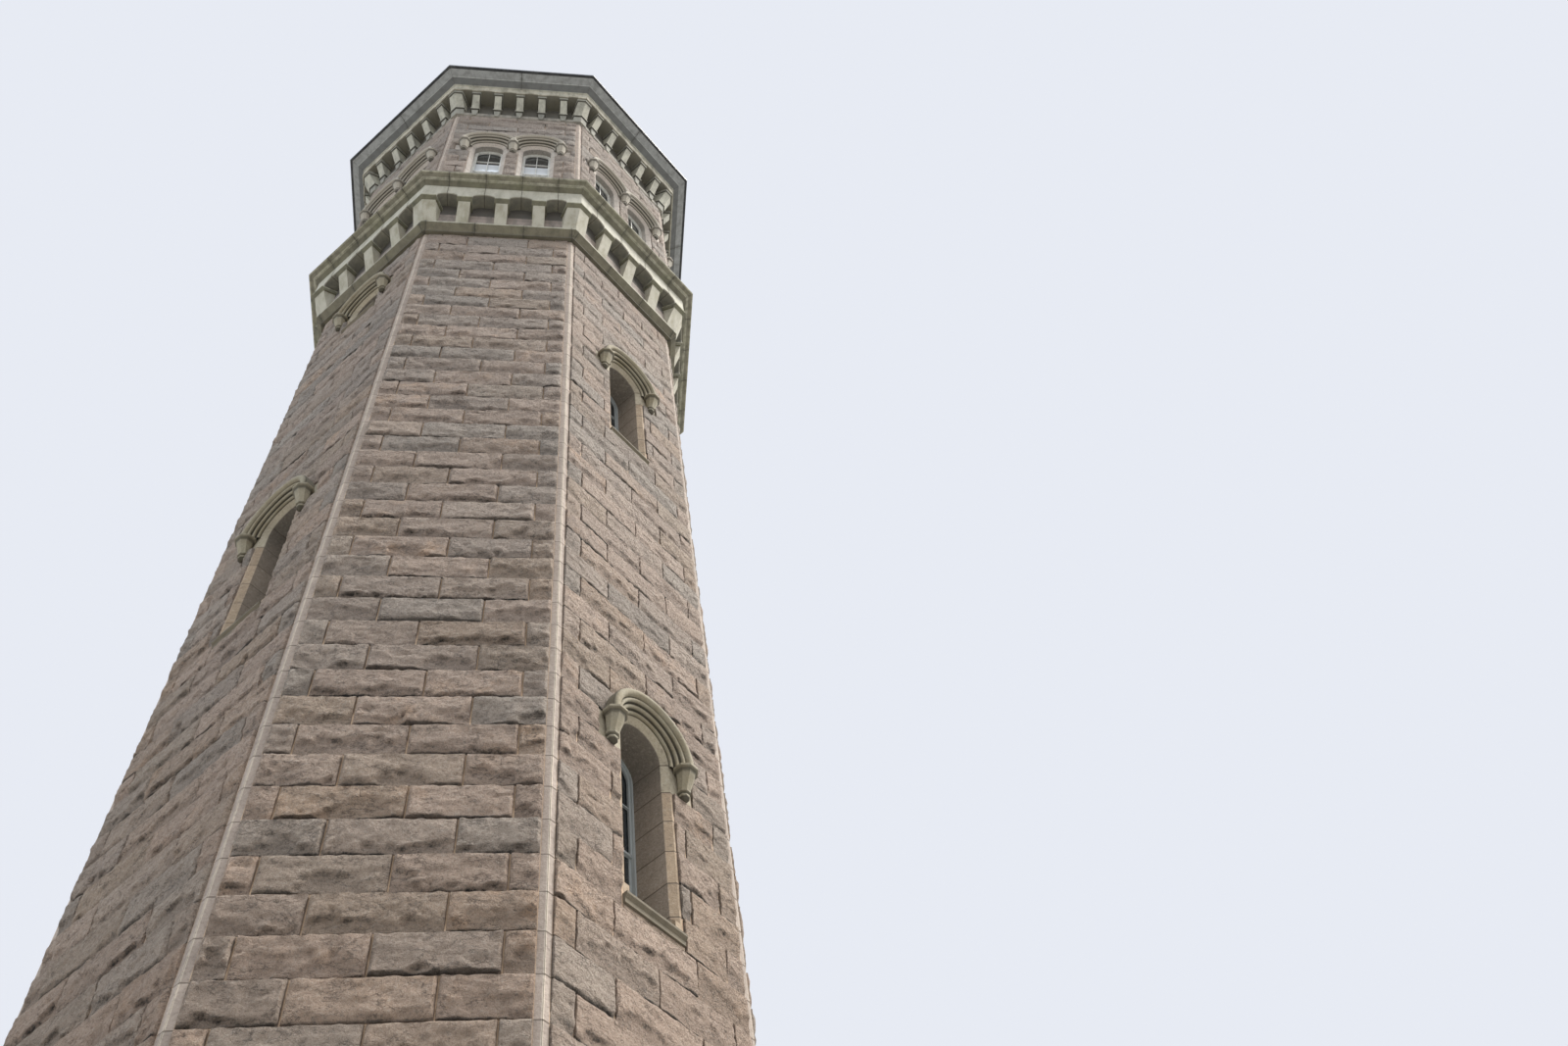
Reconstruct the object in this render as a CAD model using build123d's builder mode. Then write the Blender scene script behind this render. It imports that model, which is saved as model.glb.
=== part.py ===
from build123d import *
import os
from math import cos, radians, sin, tan

# A stone water tower with eight sides, as a scale model at one tenth of the real size.
# Millimetres. The origin is at ground level on the tower's axis, +Z is up, and the
# entrance side faces -Y. Heights are measured from the ground. A reach is the distance
# from the axis to the face of a side, and a projection is how far one face stands out
# from the face of the shaft.

# Shaft and its masonry
side_names = ["right", "back_right", "back", "back_left", "left", "front_left", "front", "front_right"]
shaft_side = 366.0            # width of one side, from arris to arris
shaft_wall = 90.0
stone_joint = 0.6             # open joint between the stones of a ring

# Plinth and ground floor
plinth_projection = 36.0
plinth_height = 240.0
water_table_height = 30.0
water_table_projection = 6.0
floor_thickness = 18.0

# Entrance, a round-headed doorway in the front side
door_width = 110.0
door_straight = 200.0         # height of the straight jambs above the ground
door_surround = 34.0
door_surround_projection = 44.0
door_setback = 46.0
door_thickness = 10.0
door_gap = 0.6
doorstep_height = 12.0

# Shaft windows, in two groups of sides, with the height of each sill
left_sides = ["front_left", "back_right"]
right_sides = ["front_right", "back_left"]
left_sills = [760.0, 2046.0]
right_sills = [1410.0, 2718.0]
window_straight = 332.0       # from the sill up to where the arch starts
short_window_sill = 3358.0    # a short window under the string course, on the left sides only
short_window_straight = 98.0
window_width = 86.0
window_reveal = 62.0          # from the wall's face back to the window frame
jamb_chamfer = 9.0
chamfer_stop = 18.0           # from the sill up to the foot of the chamfer
sill_height = 20.0
sill_projection = 8.0
sill_overhang = 4.0
sill_fall = 4.0
sill_lip = 4.0                # upright edge of the sill's nose
sill_foot_projection = 4.0
sill_foot_height = 7.0

# Window frames and glass, alike in the shaft and the belvedere
frame_bar = 6.0
frame_depth = 14.0
rail_depth = 8.0
pane_thickness = 3.0

# Hood moulds and their label stops
hood_band = 34.0
hood_projection = 25.0
hood_steps = 4
stop_shift = 6.5              # from the middle of the hood's band out to the stop's axis
stop_cap_height = 5.0
stop_cap_width = 36.0
stop_neck_height = 9.0        # where the stop narrows from its cap to its body
stop_body_top = 27.0
stop_body_foot = 17.0
stop_body_height = 30.0
stop_ball = 14.0
stop_drop = 8.0               # from the foot of the body down to the ball's centre
stop_standoff = 12.0          # from the wall to the axis of a label stop at its cap
stop_foot_standoff = 6.0      # and at its foot

# String course under the lower cornice
string_clearance = 72.0       # from the hoods of the short windows up to the string course
string_height = 36.0
string_projection = 26.0
string_tuck = 11.0
string_lip = 8.0

# Lower cornice: corbels with caps, small arches between them, and a coping
frieze_projection = 18.0
corbel_height = 105.0
corbel_width = 31.0
corbel_pitch = 96.0
corbel_count = 3
corbel_foot = 22.0            # projection of a corbel's front at its foot
corbel_head = 48.0            # and at its head
cap_height = 20.0
cap_slope = 13.0              # height of the cap's sloping underside
cap_overhang = 4.0            # beyond each side of its corbel
cap_front_overhang = 9.0
arcade_projection = 54.0
arcade_height = 86.0
arch_straight = 16.0
arch_rise = 14.0
coping_height = 35.0
coping_middle = 69.0          # projection of the coping's middle moulding
coping_middle_height = 18.0   # and its height above the coping's foot
coping_projection = 85.0
coping_lip = 8.0
coping_bead = 3.0

# Belvedere
belvedere_projection = 28.0
belvedere_wall = 60.0
belvedere_wall_height = 987.0
floor_bearing = 30.0
belvedere_sill_rise = 124.0   # from the coping up to the sills
belvedere_straight = 360.0    # from the sill up to where the arch starts
belvedere_window_width = 82.0
belvedere_window_offset = 71.0
belvedere_reveal = 24.0
belvedere_hood_band = 34.0
belvedere_hood_projection = 20.0

# Upper string, corbels with hanging blocks, small arches and cornice
upper_string_drop = 153.0     # from the top of the belvedere's walls down to the string's foot
upper_string_height = 35.0
upper_string_relief = 6.0
upper_corbel_width = 22.0
upper_corbel_pitch = 70.8
upper_corbel_count = 5
upper_corbel_height = 75.0
upper_corbel_foot = 43.0
upper_corbel_head = 72.0
upper_cap_height = 21.0
upper_cap_overhang = 3.0
block_lip = 7.0
block_lip_relief = 3.0
block_height = 46.0
block_foot = 37.0
block_head = 42.0
block_taper = 5.0             # how much narrower each side of a block is at its foot
fascia_projection = 80.0
fascia_height = 47.0
upper_arch_straight = 4.0
upper_arch_rise = 6.0
cornice_foot = 84.0           # projections of the cornice's three lips, from the lowest up
cornice_middle = 104.0
cornice_projection = 125.0
cornice_lip = 4.0
cornice_middle_height = 21.0
cornice_height = 48.0
rim_projection = 133.0
rim_thickness = 12.0
rim_height = 12.0

# Roof and lantern
roof_eaves = 105.0            # projection of the slates at the eaves
roof_rise = 345.0
roof_thickness = 20.0
roof_top_reach = 118.0
curb_height = 25.0
curb_overhang = 12.0
lantern_height = 200.0
post_width = 20.0
louvre_thickness = 10.0
louvre_inset = 5.0
eaves_height = 26.0
eaves_overhang = 20.0
spire_rise = 235.0
spire_thickness = 10.0
spire_top_reach = 18.0
finial_height = 270.0
finial_base = 17.0
finial_ball = 34.0
finial_tip = 3.0

# Plan of the tower
side_count = len(side_names)
side_turn = 360 / side_count
corner_turn = side_turn / 2
corner_slope = tan(radians(corner_turn))
side_angle = {name: index * side_turn for index, name in enumerate(side_names)}
shaft_reach = shaft_side / 2 / corner_slope
shaft_inside = shaft_reach - shaft_wall
belvedere_reach = shaft_reach + belvedere_projection
belvedere_inside = belvedere_reach - belvedere_wall

# Heights of the upper storeys, from the short windows up
hood_inner = window_width / 2 + jamb_chamfer
short_hood_top = short_window_sill + short_window_straight + hood_inner + hood_band
shaft_top = short_hood_top + string_clearance
string_top = shaft_top + string_height
corbel_top = string_top + corbel_height
cap_top = corbel_top + cap_height
arcade_top = cap_top + arcade_height
coping_top = arcade_top + coping_height
belvedere_top = coping_top + belvedere_wall_height
upper_string_level = belvedere_top - upper_string_drop
upper_string_top = upper_string_level + upper_string_height
fascia_top = belvedere_top + fascia_height
cornice_top = fascia_top + cornice_height
roof_top = cornice_top + roof_rise
curb_top = roof_top + curb_height
lantern_top = curb_top + lantern_height
eaves_top = lantern_top + eaves_height
spire_top = eaves_top + spire_rise
belvedere_sill = coping_top + belvedere_sill_rise


def side_plane(reach, height=0, offset=0):
    """Plane on the face of the side that looks along +X, seen from outside."""
    return Plane(origin=(reach, offset, height), x_dir=(0, 1, 0), z_dir=(1, 0, 0))


def corner_plane(turn, shift=0):
    """Upright plane through the axis and a corner, looking on round the tower by its sign."""
    sign = 1 if turn > 0 else -1
    across = (-sin(radians(turn)) * sign, cos(radians(turn)) * sign, 0)
    return Plane(origin=tuple(shift * part for part in across), z_dir=across)


def side_block(outline):
    """One side of a ring: an outline of (reach, height) points, mitred at both corners."""
    length = 2 * corner_slope * max(reach for reach, height in outline)
    with BuildPart() as block:
        with BuildSketch(Plane.XZ):
            with BuildLine():
                Polyline(*outline, close=True)
            make_face()
        extrude(amount=length, both=True)
        for turn in (corner_turn, -corner_turn):
            split(bisect_by=corner_plane(turn, -stone_joint / 2), keep=Keep.BOTTOM)
    return block.part


def corner_block(outline, half_width):
    """A block folded round a corner, as wide as half_width on each side of the arris."""
    length = 2 * corner_slope * max(reach for reach, height in outline)
    with BuildPart() as block:
        with BuildSketch(Plane.XZ):
            with BuildLine():
                Polyline(*outline, close=True)
            make_face()
        extrude(amount=length, both=True)
        split(bisect_by=corner_plane(corner_turn), keep=Keep.BOTTOM)
        split(bisect_by=corner_plane(corner_turn, -half_width), keep=Keep.TOP)
        mirror(about=corner_plane(corner_turn))
    return block.part


def middle_block(outline, width):
    """A straight block in the middle of the side that looks along +X."""
    with BuildPart() as block:
        with BuildSketch(Plane.XZ):
            with BuildLine():
                Polyline(*outline, close=True)
            make_face()
        extrude(amount=width / 2, both=True)
    return block.part


def spaced(count, pitch):
    """Places of count things along a side, pitch apart and centred."""
    return [((index - (count - 1) / 2) * pitch) for index in range(count)]


def bays(reach, count, pitch, cap_width, corner_width):
    """Middle and width of each gap along a side, between count caps and the two at the corners."""
    corner_edge = reach * corner_slope - corner_width / cos(radians(corner_turn))
    edges = [-corner_edge]
    for middle in spaced(count, pitch):
        edges += [middle - cap_width / 2, middle + cap_width / 2]
    edges.append(corner_edge)
    return [((start + end) / 2, end - start) for start, end in zip(edges[0::2], edges[1::2])]


def arched_shape(plane, width, straight):
    """A round-headed opening that stands on the plane's origin."""
    half = width / 2
    with BuildSketch(plane) as shape:
        with BuildLine():
            Polyline((-half, straight), (-half, 0), (half, 0), (half, straight))
            ThreePointArc((half, straight), (0, straight + half), (-half, straight))
        make_face()
    return shape.sketch


def segmental_shape(plane, span, straight, rise):
    """A low-arched opening that stands on the plane's origin."""
    half = span / 2
    with BuildSketch(plane) as shape:
        with BuildLine():
            Polyline((-half, straight), (-half, 0), (half, 0), (half, straight))
            ThreePointArc((half, straight), (0, straight + rise), (-half, straight))
        make_face()
    return shape.sketch


def window_opening(reach, offset, sill, width, straight, depth):
    """What is cut from a wall: an arched hole, with a chamfer that stops above the sill."""
    foot = sill + chamfer_stop
    hole = arched_shape(side_plane(reach, sill - sill_height, offset), width, straight + sill_height)
    rim = arched_shape(side_plane(reach, foot, offset), width + 2 * jamb_chamfer, straight - chamfer_stop)
    inner_plane = side_plane(reach - jamb_chamfer, foot + jamb_chamfer, offset)
    inner = arched_shape(inner_plane, width, straight - chamfer_stop - jamb_chamfer)
    with BuildPart() as opening:
        extrude(hole, amount=-depth)
        loft([rim.face(), inner.face()], ruled=True)
    return opening.part


def window_frame(reach, width, straight):
    """Frame round an arched window, with a rail across its middle, on a sill at height 0."""
    inner_width = width - 2 * frame_bar
    with BuildPart() as frame:
        extrude(arched_shape(side_plane(reach), width, straight), amount=-frame_depth)
        inner = arched_shape(side_plane(reach, frame_bar), inner_width, straight - frame_bar)
        extrude(inner, amount=-frame_depth, mode=Mode.SUBTRACT)
        with BuildSketch(side_plane(reach, straight / 2)):
            Rectangle(inner_width, frame_bar)
        extrude(amount=-rail_depth)
    return frame.part


def window_pane(reach, width, straight):
    """Glass inside a window frame, behind its rail."""
    inner_width = width - 2 * frame_bar
    with BuildPart() as pane:
        plane = side_plane(reach - rail_depth, frame_bar)
        extrude(arched_shape(plane, inner_width, straight - frame_bar), amount=-pane_thickness)
    return pane.part


def window_sill(reach, width, reveal):
    """Sill whose top falls from the frame to a nose in front of the wall."""
    back = reach - reveal
    nose = reach + sill_projection
    with BuildPart() as sill:
        bed_outline = [(back, -sill_height), (reach, -sill_height), (reach, -sill_fall), (back, 0)]
        add(middle_block(bed_outline, width))
        nose_outline = [
            (reach, -sill_height),
            (reach + sill_foot_projection, -sill_height),
            (reach + sill_foot_projection, -sill_height + sill_foot_height),
            (nose, -sill_fall - sill_lip),
            (nose, -sill_fall),
            (reach, -sill_fall),
        ]
        add(middle_block(nose_outline, width + 2 * (jamb_chamfer + sill_overhang)))
    return sill.part


def hood_arch(reach, inner_radius, band, projection):
    """Stepped half ring over a window, round the arch centre at height 0."""
    step_width = band / hood_steps
    step_rise = projection / hood_steps
    outline = [(inner_radius, 0)]
    for step in range(hood_steps):
        outline.append((inner_radius + step * step_width, (step + 1) * step_rise))
        outline.append((inner_radius + (step + 1) * step_width, (step + 1) * step_rise))
    outline.append((inner_radius + band, 0))
    with BuildPart() as arch:
        with BuildSketch(Plane(origin=(reach, 0, 0), x_dir=(0, 1, 0), z_dir=(0, 0, -1))):
            with BuildLine():
                Polyline(*outline, close=True)
            make_face()
        revolve(axis=Axis((reach, 0, 0), (1, 0, 0)), revolution_arc=180)
    return arch.part


def stop_section(reach, height, width):
    """Eight-sided section of a label stop, as wide as width across its flats."""
    with BuildSketch(Plane.XY.offset(height)) as section:
        with Locations((reach, 0)):
            RegularPolygon(width / 2, side_count, major_radius=False, rotation=corner_turn)
    return section.sketch.face()


def label_stop(reach):
    """Cap, leaning body and ball that end a hood, below height 0."""
    cap_reach = reach + stop_standoff
    foot_reach = reach + stop_foot_standoff
    body_top = -stop_cap_height - stop_neck_height
    body_foot = body_top - stop_body_height
    cap_foot = stop_section(cap_reach, -stop_cap_height, stop_cap_width)
    neck = stop_section(cap_reach, body_top, stop_body_top)
    foot = stop_section(foot_reach, body_foot, stop_body_foot)
    with BuildPart() as stop:
        extrude(cap_foot, amount=stop_cap_height)
        loft([cap_foot, neck], ruled=True)
        loft([neck, foot], ruled=True)
        with Locations((foot_reach, 0, body_foot)):
            Cylinder(stop_ball / 3, 2 * stop_drop)
        with Locations((foot_reach, 0, body_foot - stop_drop)):
            Sphere(stop_ball / 2)
        split(bisect_by=Plane(origin=(reach, 0, 0), z_dir=(1, 0, 0)), keep=Keep.TOP)
    return stop.part


os.makedirs("parts", exist_ok=True)

# The shaft's windows on each side, as the height of the sill and of the straight part
shaft_windows = {name: [] for name in side_names}
for name in left_sides:
    shaft_windows[name] = [(sill, window_straight) for sill in left_sills]
    shaft_windows[name].append((short_window_sill, short_window_straight))
for name in right_sides:
    shaft_windows[name] = [(sill, window_straight) for sill in right_sills]
window_places = [
    (Location((0, 0, sill), (0, 0, side_angle[name])), straight)
    for name in side_names
    for sill, straight in shaft_windows[name]
]
entrance_turn = (0, 0, side_angle["front"])

# Ground floor inside the shaft, up to the back of the doorway
with BuildPart() as ground_floor:
    with BuildSketch(Plane.XY):
        RegularPolygon(shaft_inside, side_count, major_radius=False, rotation=corner_turn)
    extrude(amount=floor_thickness)
ground_floor.part.label = "ground_floor"
export_step(ground_floor.part, "parts/ground_floor.step")

# Plinth with its sloping water table, left open for the doorway's surround
surround_width = door_width + 2 * door_surround
plinth_outline = [
    (shaft_reach, 0),
    (shaft_reach + plinth_projection, 0),
    (shaft_reach + plinth_projection, plinth_height),
    (shaft_reach + water_table_projection, plinth_height + water_table_height),
    (shaft_reach, plinth_height + water_table_height),
]
plinth_opening = arched_shape(side_plane(shaft_reach), surround_width, door_straight)
with BuildPart() as plinth:
    with PolarLocations(0, side_count):
        add(side_block(plinth_outline))
    with BuildPart(mode=Mode.PRIVATE) as entrance:
        extrude(plinth_opening, amount=plinth_projection)
    add(entrance.part, rotation=entrance_turn, mode=Mode.SUBTRACT)
plinth.part.label = "plinth"
export_step(plinth.part, "parts/plinth.step")

# The eight walls of the shaft, with their windows and the doorway cut through
wall_outline = [(shaft_inside, 0), (shaft_reach, 0), (shaft_reach, shaft_top), (shaft_inside, shaft_top)]
for name in side_names:
    with BuildPart() as shaft_side_wall:
        add(side_block(wall_outline))
        for sill, straight in shaft_windows[name]:
            opening = window_opening(shaft_reach, 0, sill, window_width, straight, shaft_wall)
            add(opening, mode=Mode.SUBTRACT)
        if name == "front":
            doorway = arched_shape(side_plane(shaft_reach), door_width, door_straight)
            extrude(doorway, amount=-shaft_wall, mode=Mode.SUBTRACT)
    with BuildPart() as shaft_side_placed:
        add(shaft_side_wall.part, rotation=(0, 0, side_angle[name]))
    shaft_side_placed.part.label = f"shaft_wall_{name}"
    export_step(shaft_side_placed.part, f"parts/shaft_wall_{name}.step")

# Doorway surround, doorstep and the closed pair of doors
with BuildPart() as surround_here:
    outer = arched_shape(side_plane(shaft_reach), surround_width, door_straight)
    extrude(outer, amount=door_surround_projection)
    inner = arched_shape(side_plane(shaft_reach), door_width, door_straight)
    extrude(inner, amount=door_surround_projection, mode=Mode.SUBTRACT)
with BuildPart() as doorway_surround:
    add(surround_here.part, rotation=entrance_turn)
doorway_surround.part.label = "doorway_surround"
export_step(doorway_surround.part, "parts/doorway_surround.step")

step_outline = [
    (shaft_inside, 0),
    (shaft_reach + door_surround_projection, 0),
    (shaft_reach + door_surround_projection, doorstep_height),
    (shaft_inside, doorstep_height),
]
with BuildPart() as doorstep:
    add(middle_block(step_outline, door_width), rotation=entrance_turn)
doorstep.part.label = "doorstep"
export_step(doorstep.part, "parts/doorstep.step")

with BuildPart() as doors_here:
    door_plane = side_plane(shaft_reach - door_setback, doorstep_height)
    extrude(arched_shape(door_plane, door_width, door_straight - doorstep_height), amount=-door_thickness)
    with BuildSketch(door_plane):
        Rectangle(door_gap, door_straight + door_width, align=(Align.CENTER, Align.MIN))
    extrude(amount=-door_thickness, mode=Mode.SUBTRACT)
with BuildPart() as entrance_doors:
    add(doors_here.part, rotation=entrance_turn)
entrance_doors.part.label = "entrance_doors"
export_step(entrance_doors.part, "parts/entrance_doors.step")

# Hood moulds over the shaft's windows, each with two label stops
stop_offset = hood_inner + hood_band / 2 + stop_shift
with BuildPart() as one_hood:
    add(hood_arch(shaft_reach, hood_inner, hood_band, hood_projection))
    with Locations((0, stop_offset, 0), (0, -stop_offset, 0)):
        add(label_stop(shaft_reach))
with BuildPart() as shaft_window_hoods:
    for place, straight in window_places:
        with Locations(place * Location((0, 0, straight))):
            add(one_hood.part)
shaft_window_hoods.part.label = "shaft_window_hoods"
export_step(shaft_window_hoods.part, "parts/shaft_window_hoods.step")

# Sills, frames and glass of the shaft's windows
with BuildPart() as shaft_window_sills:
    with Locations(*[place for place, straight in window_places]):
        add(window_sill(shaft_reach, window_width, shaft_wall))
shaft_window_sills.part.label = "shaft_window_sills"
export_step(shaft_window_sills.part, "parts/shaft_window_sills.step")

with BuildPart() as shaft_window_frames:
    for place, straight in window_places:
        with Locations(place):
            add(window_frame(shaft_reach - window_reveal, window_width, straight))
shaft_window_frames.part.label = "shaft_window_frames"
export_step(shaft_window_frames.part, "parts/shaft_window_frames.step")

with BuildPart() as shaft_window_panes:
    for place, straight in window_places:
        with Locations(place):
            add(window_pane(shaft_reach - window_reveal, window_width, straight))
shaft_window_panes.part.label = "shaft_window_panes"
export_step(shaft_window_panes.part, "parts/shaft_window_panes.step")

# String course, a ring of long stones on top of the shaft
string_outline = [
    (shaft_inside, shaft_top),
    (shaft_reach + string_tuck, shaft_top),
    (shaft_reach + string_tuck, shaft_top + string_lip),
    (shaft_reach + string_projection, string_top - string_lip),
    (shaft_reach + string_projection, string_top),
    (shaft_inside, string_top),
]
with BuildPart() as string_course:
    with PolarLocations(0, side_count):
        add(side_block(string_outline))
string_course.part.label = "string_course"
export_step(string_course.part, "parts/string_course.step")

# Frieze wall behind the lower corbels
frieze_outline = [
    (shaft_inside, string_top),
    (shaft_reach + frieze_projection, string_top),
    (shaft_reach + frieze_projection, arcade_top),
    (shaft_inside, arcade_top),
]
with BuildPart() as lower_frieze:
    with PolarLocations(0, side_count):
        add(side_block(frieze_outline))
lower_frieze.part.label = "lower_frieze"
export_step(lower_frieze.part, "parts/lower_frieze.step")

# Lower corbels: three on each side and one folded round each corner
frieze_reach = shaft_reach + frieze_projection
corbel_outline = [
    (frieze_reach, string_top),
    (shaft_reach + corbel_foot, string_top),
    (shaft_reach + corbel_head, corbel_top),
    (frieze_reach, corbel_top),
]
cap_reach = shaft_reach + corbel_head + cap_front_overhang
cap_width = corbel_width + 2 * cap_overhang
corner_cap_width = corbel_width + cap_overhang
cap_outline = [
    (frieze_reach, corbel_top),
    (shaft_reach + corbel_head, corbel_top),
    (cap_reach, corbel_top + cap_slope),
    (cap_reach, cap_top),
    (frieze_reach, cap_top),
]
corbel_places = [(0, offset, 0) for offset in spaced(corbel_count, corbel_pitch)]
with BuildPart() as lower_corbels:
    with PolarLocations(0, side_count):
        add(corner_block(corbel_outline, corbel_width))
        with Locations(*corbel_places):
            add(middle_block(corbel_outline, corbel_width))
lower_corbels.part.label = "lower_corbels"
export_step(lower_corbels.part, "parts/lower_corbels.step")

with BuildPart() as corbel_caps:
    with PolarLocations(0, side_count):
        add(corner_block(cap_outline, corner_cap_width))
        with Locations(*corbel_places):
            add(middle_block(cap_outline, cap_width))
corbel_caps.part.label = "corbel_caps"
export_step(corbel_caps.part, "parts/corbel_caps.step")

# Arcade of small arches that stand on the corbel caps
arcade_reach = shaft_reach + arcade_projection
arcade_outline = [
    (frieze_reach, cap_top),
    (arcade_reach, cap_top),
    (arcade_reach, arcade_top),
    (frieze_reach, arcade_top),
]
with BuildPart() as arcade_side:
    add(side_block(arcade_outline))
    for middle, span in bays(arcade_reach, corbel_count, corbel_pitch, cap_width, corner_cap_width):
        bay = segmental_shape(side_plane(arcade_reach, cap_top, middle), span, arch_straight, arch_rise)
        extrude(bay, amount=frieze_reach - arcade_reach, mode=Mode.SUBTRACT)
with BuildPart() as corbel_arches:
    with PolarLocations(0, side_count):
        add(arcade_side.part)
corbel_arches.part.label = "corbel_arches"
export_step(corbel_arches.part, "parts/corbel_arches.step")

# Coping: two mouldings under a thin lip, its top level with the belvedere's floor
coping_middle_level = arcade_top + coping_middle_height
coping_inside = shaft_inside + floor_bearing
coping_outline = [
    (coping_inside, arcade_top),
    (shaft_reach + arcade_projection, arcade_top),
    (shaft_reach + coping_middle - coping_bead, coping_middle_level),
    (shaft_reach + coping_middle, coping_middle_level),
    (shaft_reach + coping_projection - coping_bead, coping_top - coping_lip),
    (shaft_reach + coping_projection, coping_top - coping_lip),
    (shaft_reach + coping_projection, coping_top),
    (coping_inside, coping_top),
]
with BuildPart() as lower_coping:
    with PolarLocations(0, side_count):
        add(side_block(coping_outline))
lower_coping.part.label = "lower_coping"
export_step(lower_coping.part, "parts/lower_coping.step")

# Belvedere floor, borne by the frieze wall inside the coping
with BuildPart() as belvedere_floor:
    with BuildSketch(Plane.XY.offset(arcade_top)):
        RegularPolygon(coping_inside, side_count, major_radius=False, rotation=corner_turn)
    extrude(amount=coping_height)
belvedere_floor.part.label = "belvedere_floor"
export_step(belvedere_floor.part, "parts/belvedere_floor.step")

# Belvedere walls with a pair of windows in each side
belvedere_outline = [
    (belvedere_inside, coping_top),
    (belvedere_reach, coping_top),
    (belvedere_reach, belvedere_top),
    (belvedere_inside, belvedere_top),
]
window_offsets = [-belvedere_window_offset, belvedere_window_offset]
with BuildPart() as belvedere_side:
    add(side_block(belvedere_outline))
    for offset in window_offsets:
        opening = window_opening(
            reach=belvedere_reach,
            offset=offset,
            sill=belvedere_sill,
            width=belvedere_window_width,
            straight=belvedere_straight,
            depth=belvedere_wall,
        )
        add(opening, mode=Mode.SUBTRACT)
with BuildPart() as belvedere_walls:
    with PolarLocations(0, side_count):
        add(belvedere_side.part)
belvedere_walls.part.label = "belvedere_walls"
export_step(belvedere_walls.part, "parts/belvedere_walls.step")

# Hoods of the belvedere: two arches on each side that share the stop between them
belvedere_hood_inner = belvedere_window_width / 2 + jamb_chamfer
belvedere_spring = belvedere_sill + belvedere_straight
stop_places = [(0, offset, belvedere_spring) for offset in spaced(3, 2 * belvedere_window_offset)]
with BuildPart() as hood_pair:
    with Locations(*[(0, offset, belvedere_spring) for offset in window_offsets]):
        add(
            hood_arch(belvedere_reach, belvedere_hood_inner, belvedere_hood_band, belvedere_hood_projection)
        )
    with Locations(*stop_places):
        add(label_stop(belvedere_reach))
with BuildPart() as belvedere_hoods:
    with PolarLocations(0, side_count):
        add(hood_pair.part)
belvedere_hoods.part.label = "belvedere_hoods"
export_step(belvedere_hoods.part, "parts/belvedere_hoods.step")

# Sills, frames and glass of the belvedere
belvedere_window_places = [(0, offset, belvedere_sill) for offset in window_offsets]
belvedere_frame_reach = belvedere_reach - belvedere_reveal
with BuildPart() as belvedere_sills:
    with PolarLocations(0, side_count):
        with Locations(*belvedere_window_places):
            add(window_sill(belvedere_reach, belvedere_window_width, belvedere_wall))
belvedere_sills.part.label = "belvedere_sills"
export_step(belvedere_sills.part, "parts/belvedere_sills.step")

with BuildPart() as belvedere_frames:
    with PolarLocations(0, side_count):
        with Locations(*belvedere_window_places):
            add(window_frame(belvedere_frame_reach, belvedere_window_width, belvedere_straight))
belvedere_frames.part.label = "belvedere_frames"
export_step(belvedere_frames.part, "parts/belvedere_frames.step")

with BuildPart() as belvedere_panes:
    with PolarLocations(0, side_count):
        with Locations(*belvedere_window_places):
            add(window_pane(belvedere_frame_reach, belvedere_window_width, belvedere_straight))
belvedere_panes.part.label = "belvedere_panes"
export_step(belvedere_panes.part, "parts/belvedere_panes.step")

# Thin string course round the belvedere, under the upper corbels
upper_string_reach = belvedere_reach + upper_string_relief
upper_string_outline = [
    (belvedere_reach, upper_string_level),
    (upper_string_reach, upper_string_level + upper_string_relief),
    (upper_string_reach, upper_string_top),
    (belvedere_reach, upper_string_top),
]
with BuildPart() as upper_string:
    with PolarLocations(0, side_count):
        add(side_block(upper_string_outline))
upper_string.part.label = "upper_string"
export_step(upper_string.part, "parts/upper_string.step")

# Upper corbels, each with a cap, a lip at its foot and a small block that hangs in front of the string
upper_corbel_top = belvedere_top - upper_cap_height
upper_corbel_level = upper_corbel_top - upper_corbel_height
block_top = upper_corbel_level - block_lip
block_level = block_top - block_height
upper_cap_reach = shaft_reach + upper_corbel_head + upper_cap_overhang
upper_cap_width = upper_corbel_width + 2 * upper_cap_overhang
upper_corner_cap_width = upper_corbel_width + upper_cap_overhang
upper_cap_outline = [
    (belvedere_reach, upper_corbel_top),
    (upper_cap_reach, upper_corbel_top),
    (upper_cap_reach, belvedere_top),
    (belvedere_reach, belvedere_top),
]
upper_panel_outline = [
    (belvedere_reach, upper_corbel_level),
    (shaft_reach + upper_corbel_foot, upper_corbel_level),
    (shaft_reach + upper_corbel_head, upper_corbel_top),
    (belvedere_reach, upper_corbel_top),
]
upper_lip_outline = [
    (belvedere_reach, block_top),
    (shaft_reach + upper_corbel_foot + block_lip_relief, block_top),
    (shaft_reach + upper_corbel_foot + block_lip_relief, upper_corbel_level),
    (belvedere_reach, upper_corbel_level),
]
block_outline = [
    (belvedere_reach, upper_string_top),
    (upper_string_reach, upper_string_top),
    (upper_string_reach, block_level),
    (shaft_reach + block_foot, block_level),
    (shaft_reach + block_head, block_top),
    (belvedere_reach, block_top),
]
with BuildPart() as corner_corbel:
    add(corner_block(upper_cap_outline, upper_corner_cap_width))
    add(corner_block(upper_panel_outline, upper_corbel_width))
    add(corner_block(upper_lip_outline, upper_corbel_width + block_lip_relief))
    add(corner_block(block_outline, upper_corbel_width))
with BuildPart() as hanging_block:
    add(middle_block(block_outline, upper_corbel_width))
    for sign in (1, -1):
        edge = (0, sign * upper_corbel_width / 2, block_top)
        split(bisect_by=Plane(origin=edge, z_dir=(0, sign * block_height, -block_taper)), keep=Keep.BOTTOM)
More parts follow.
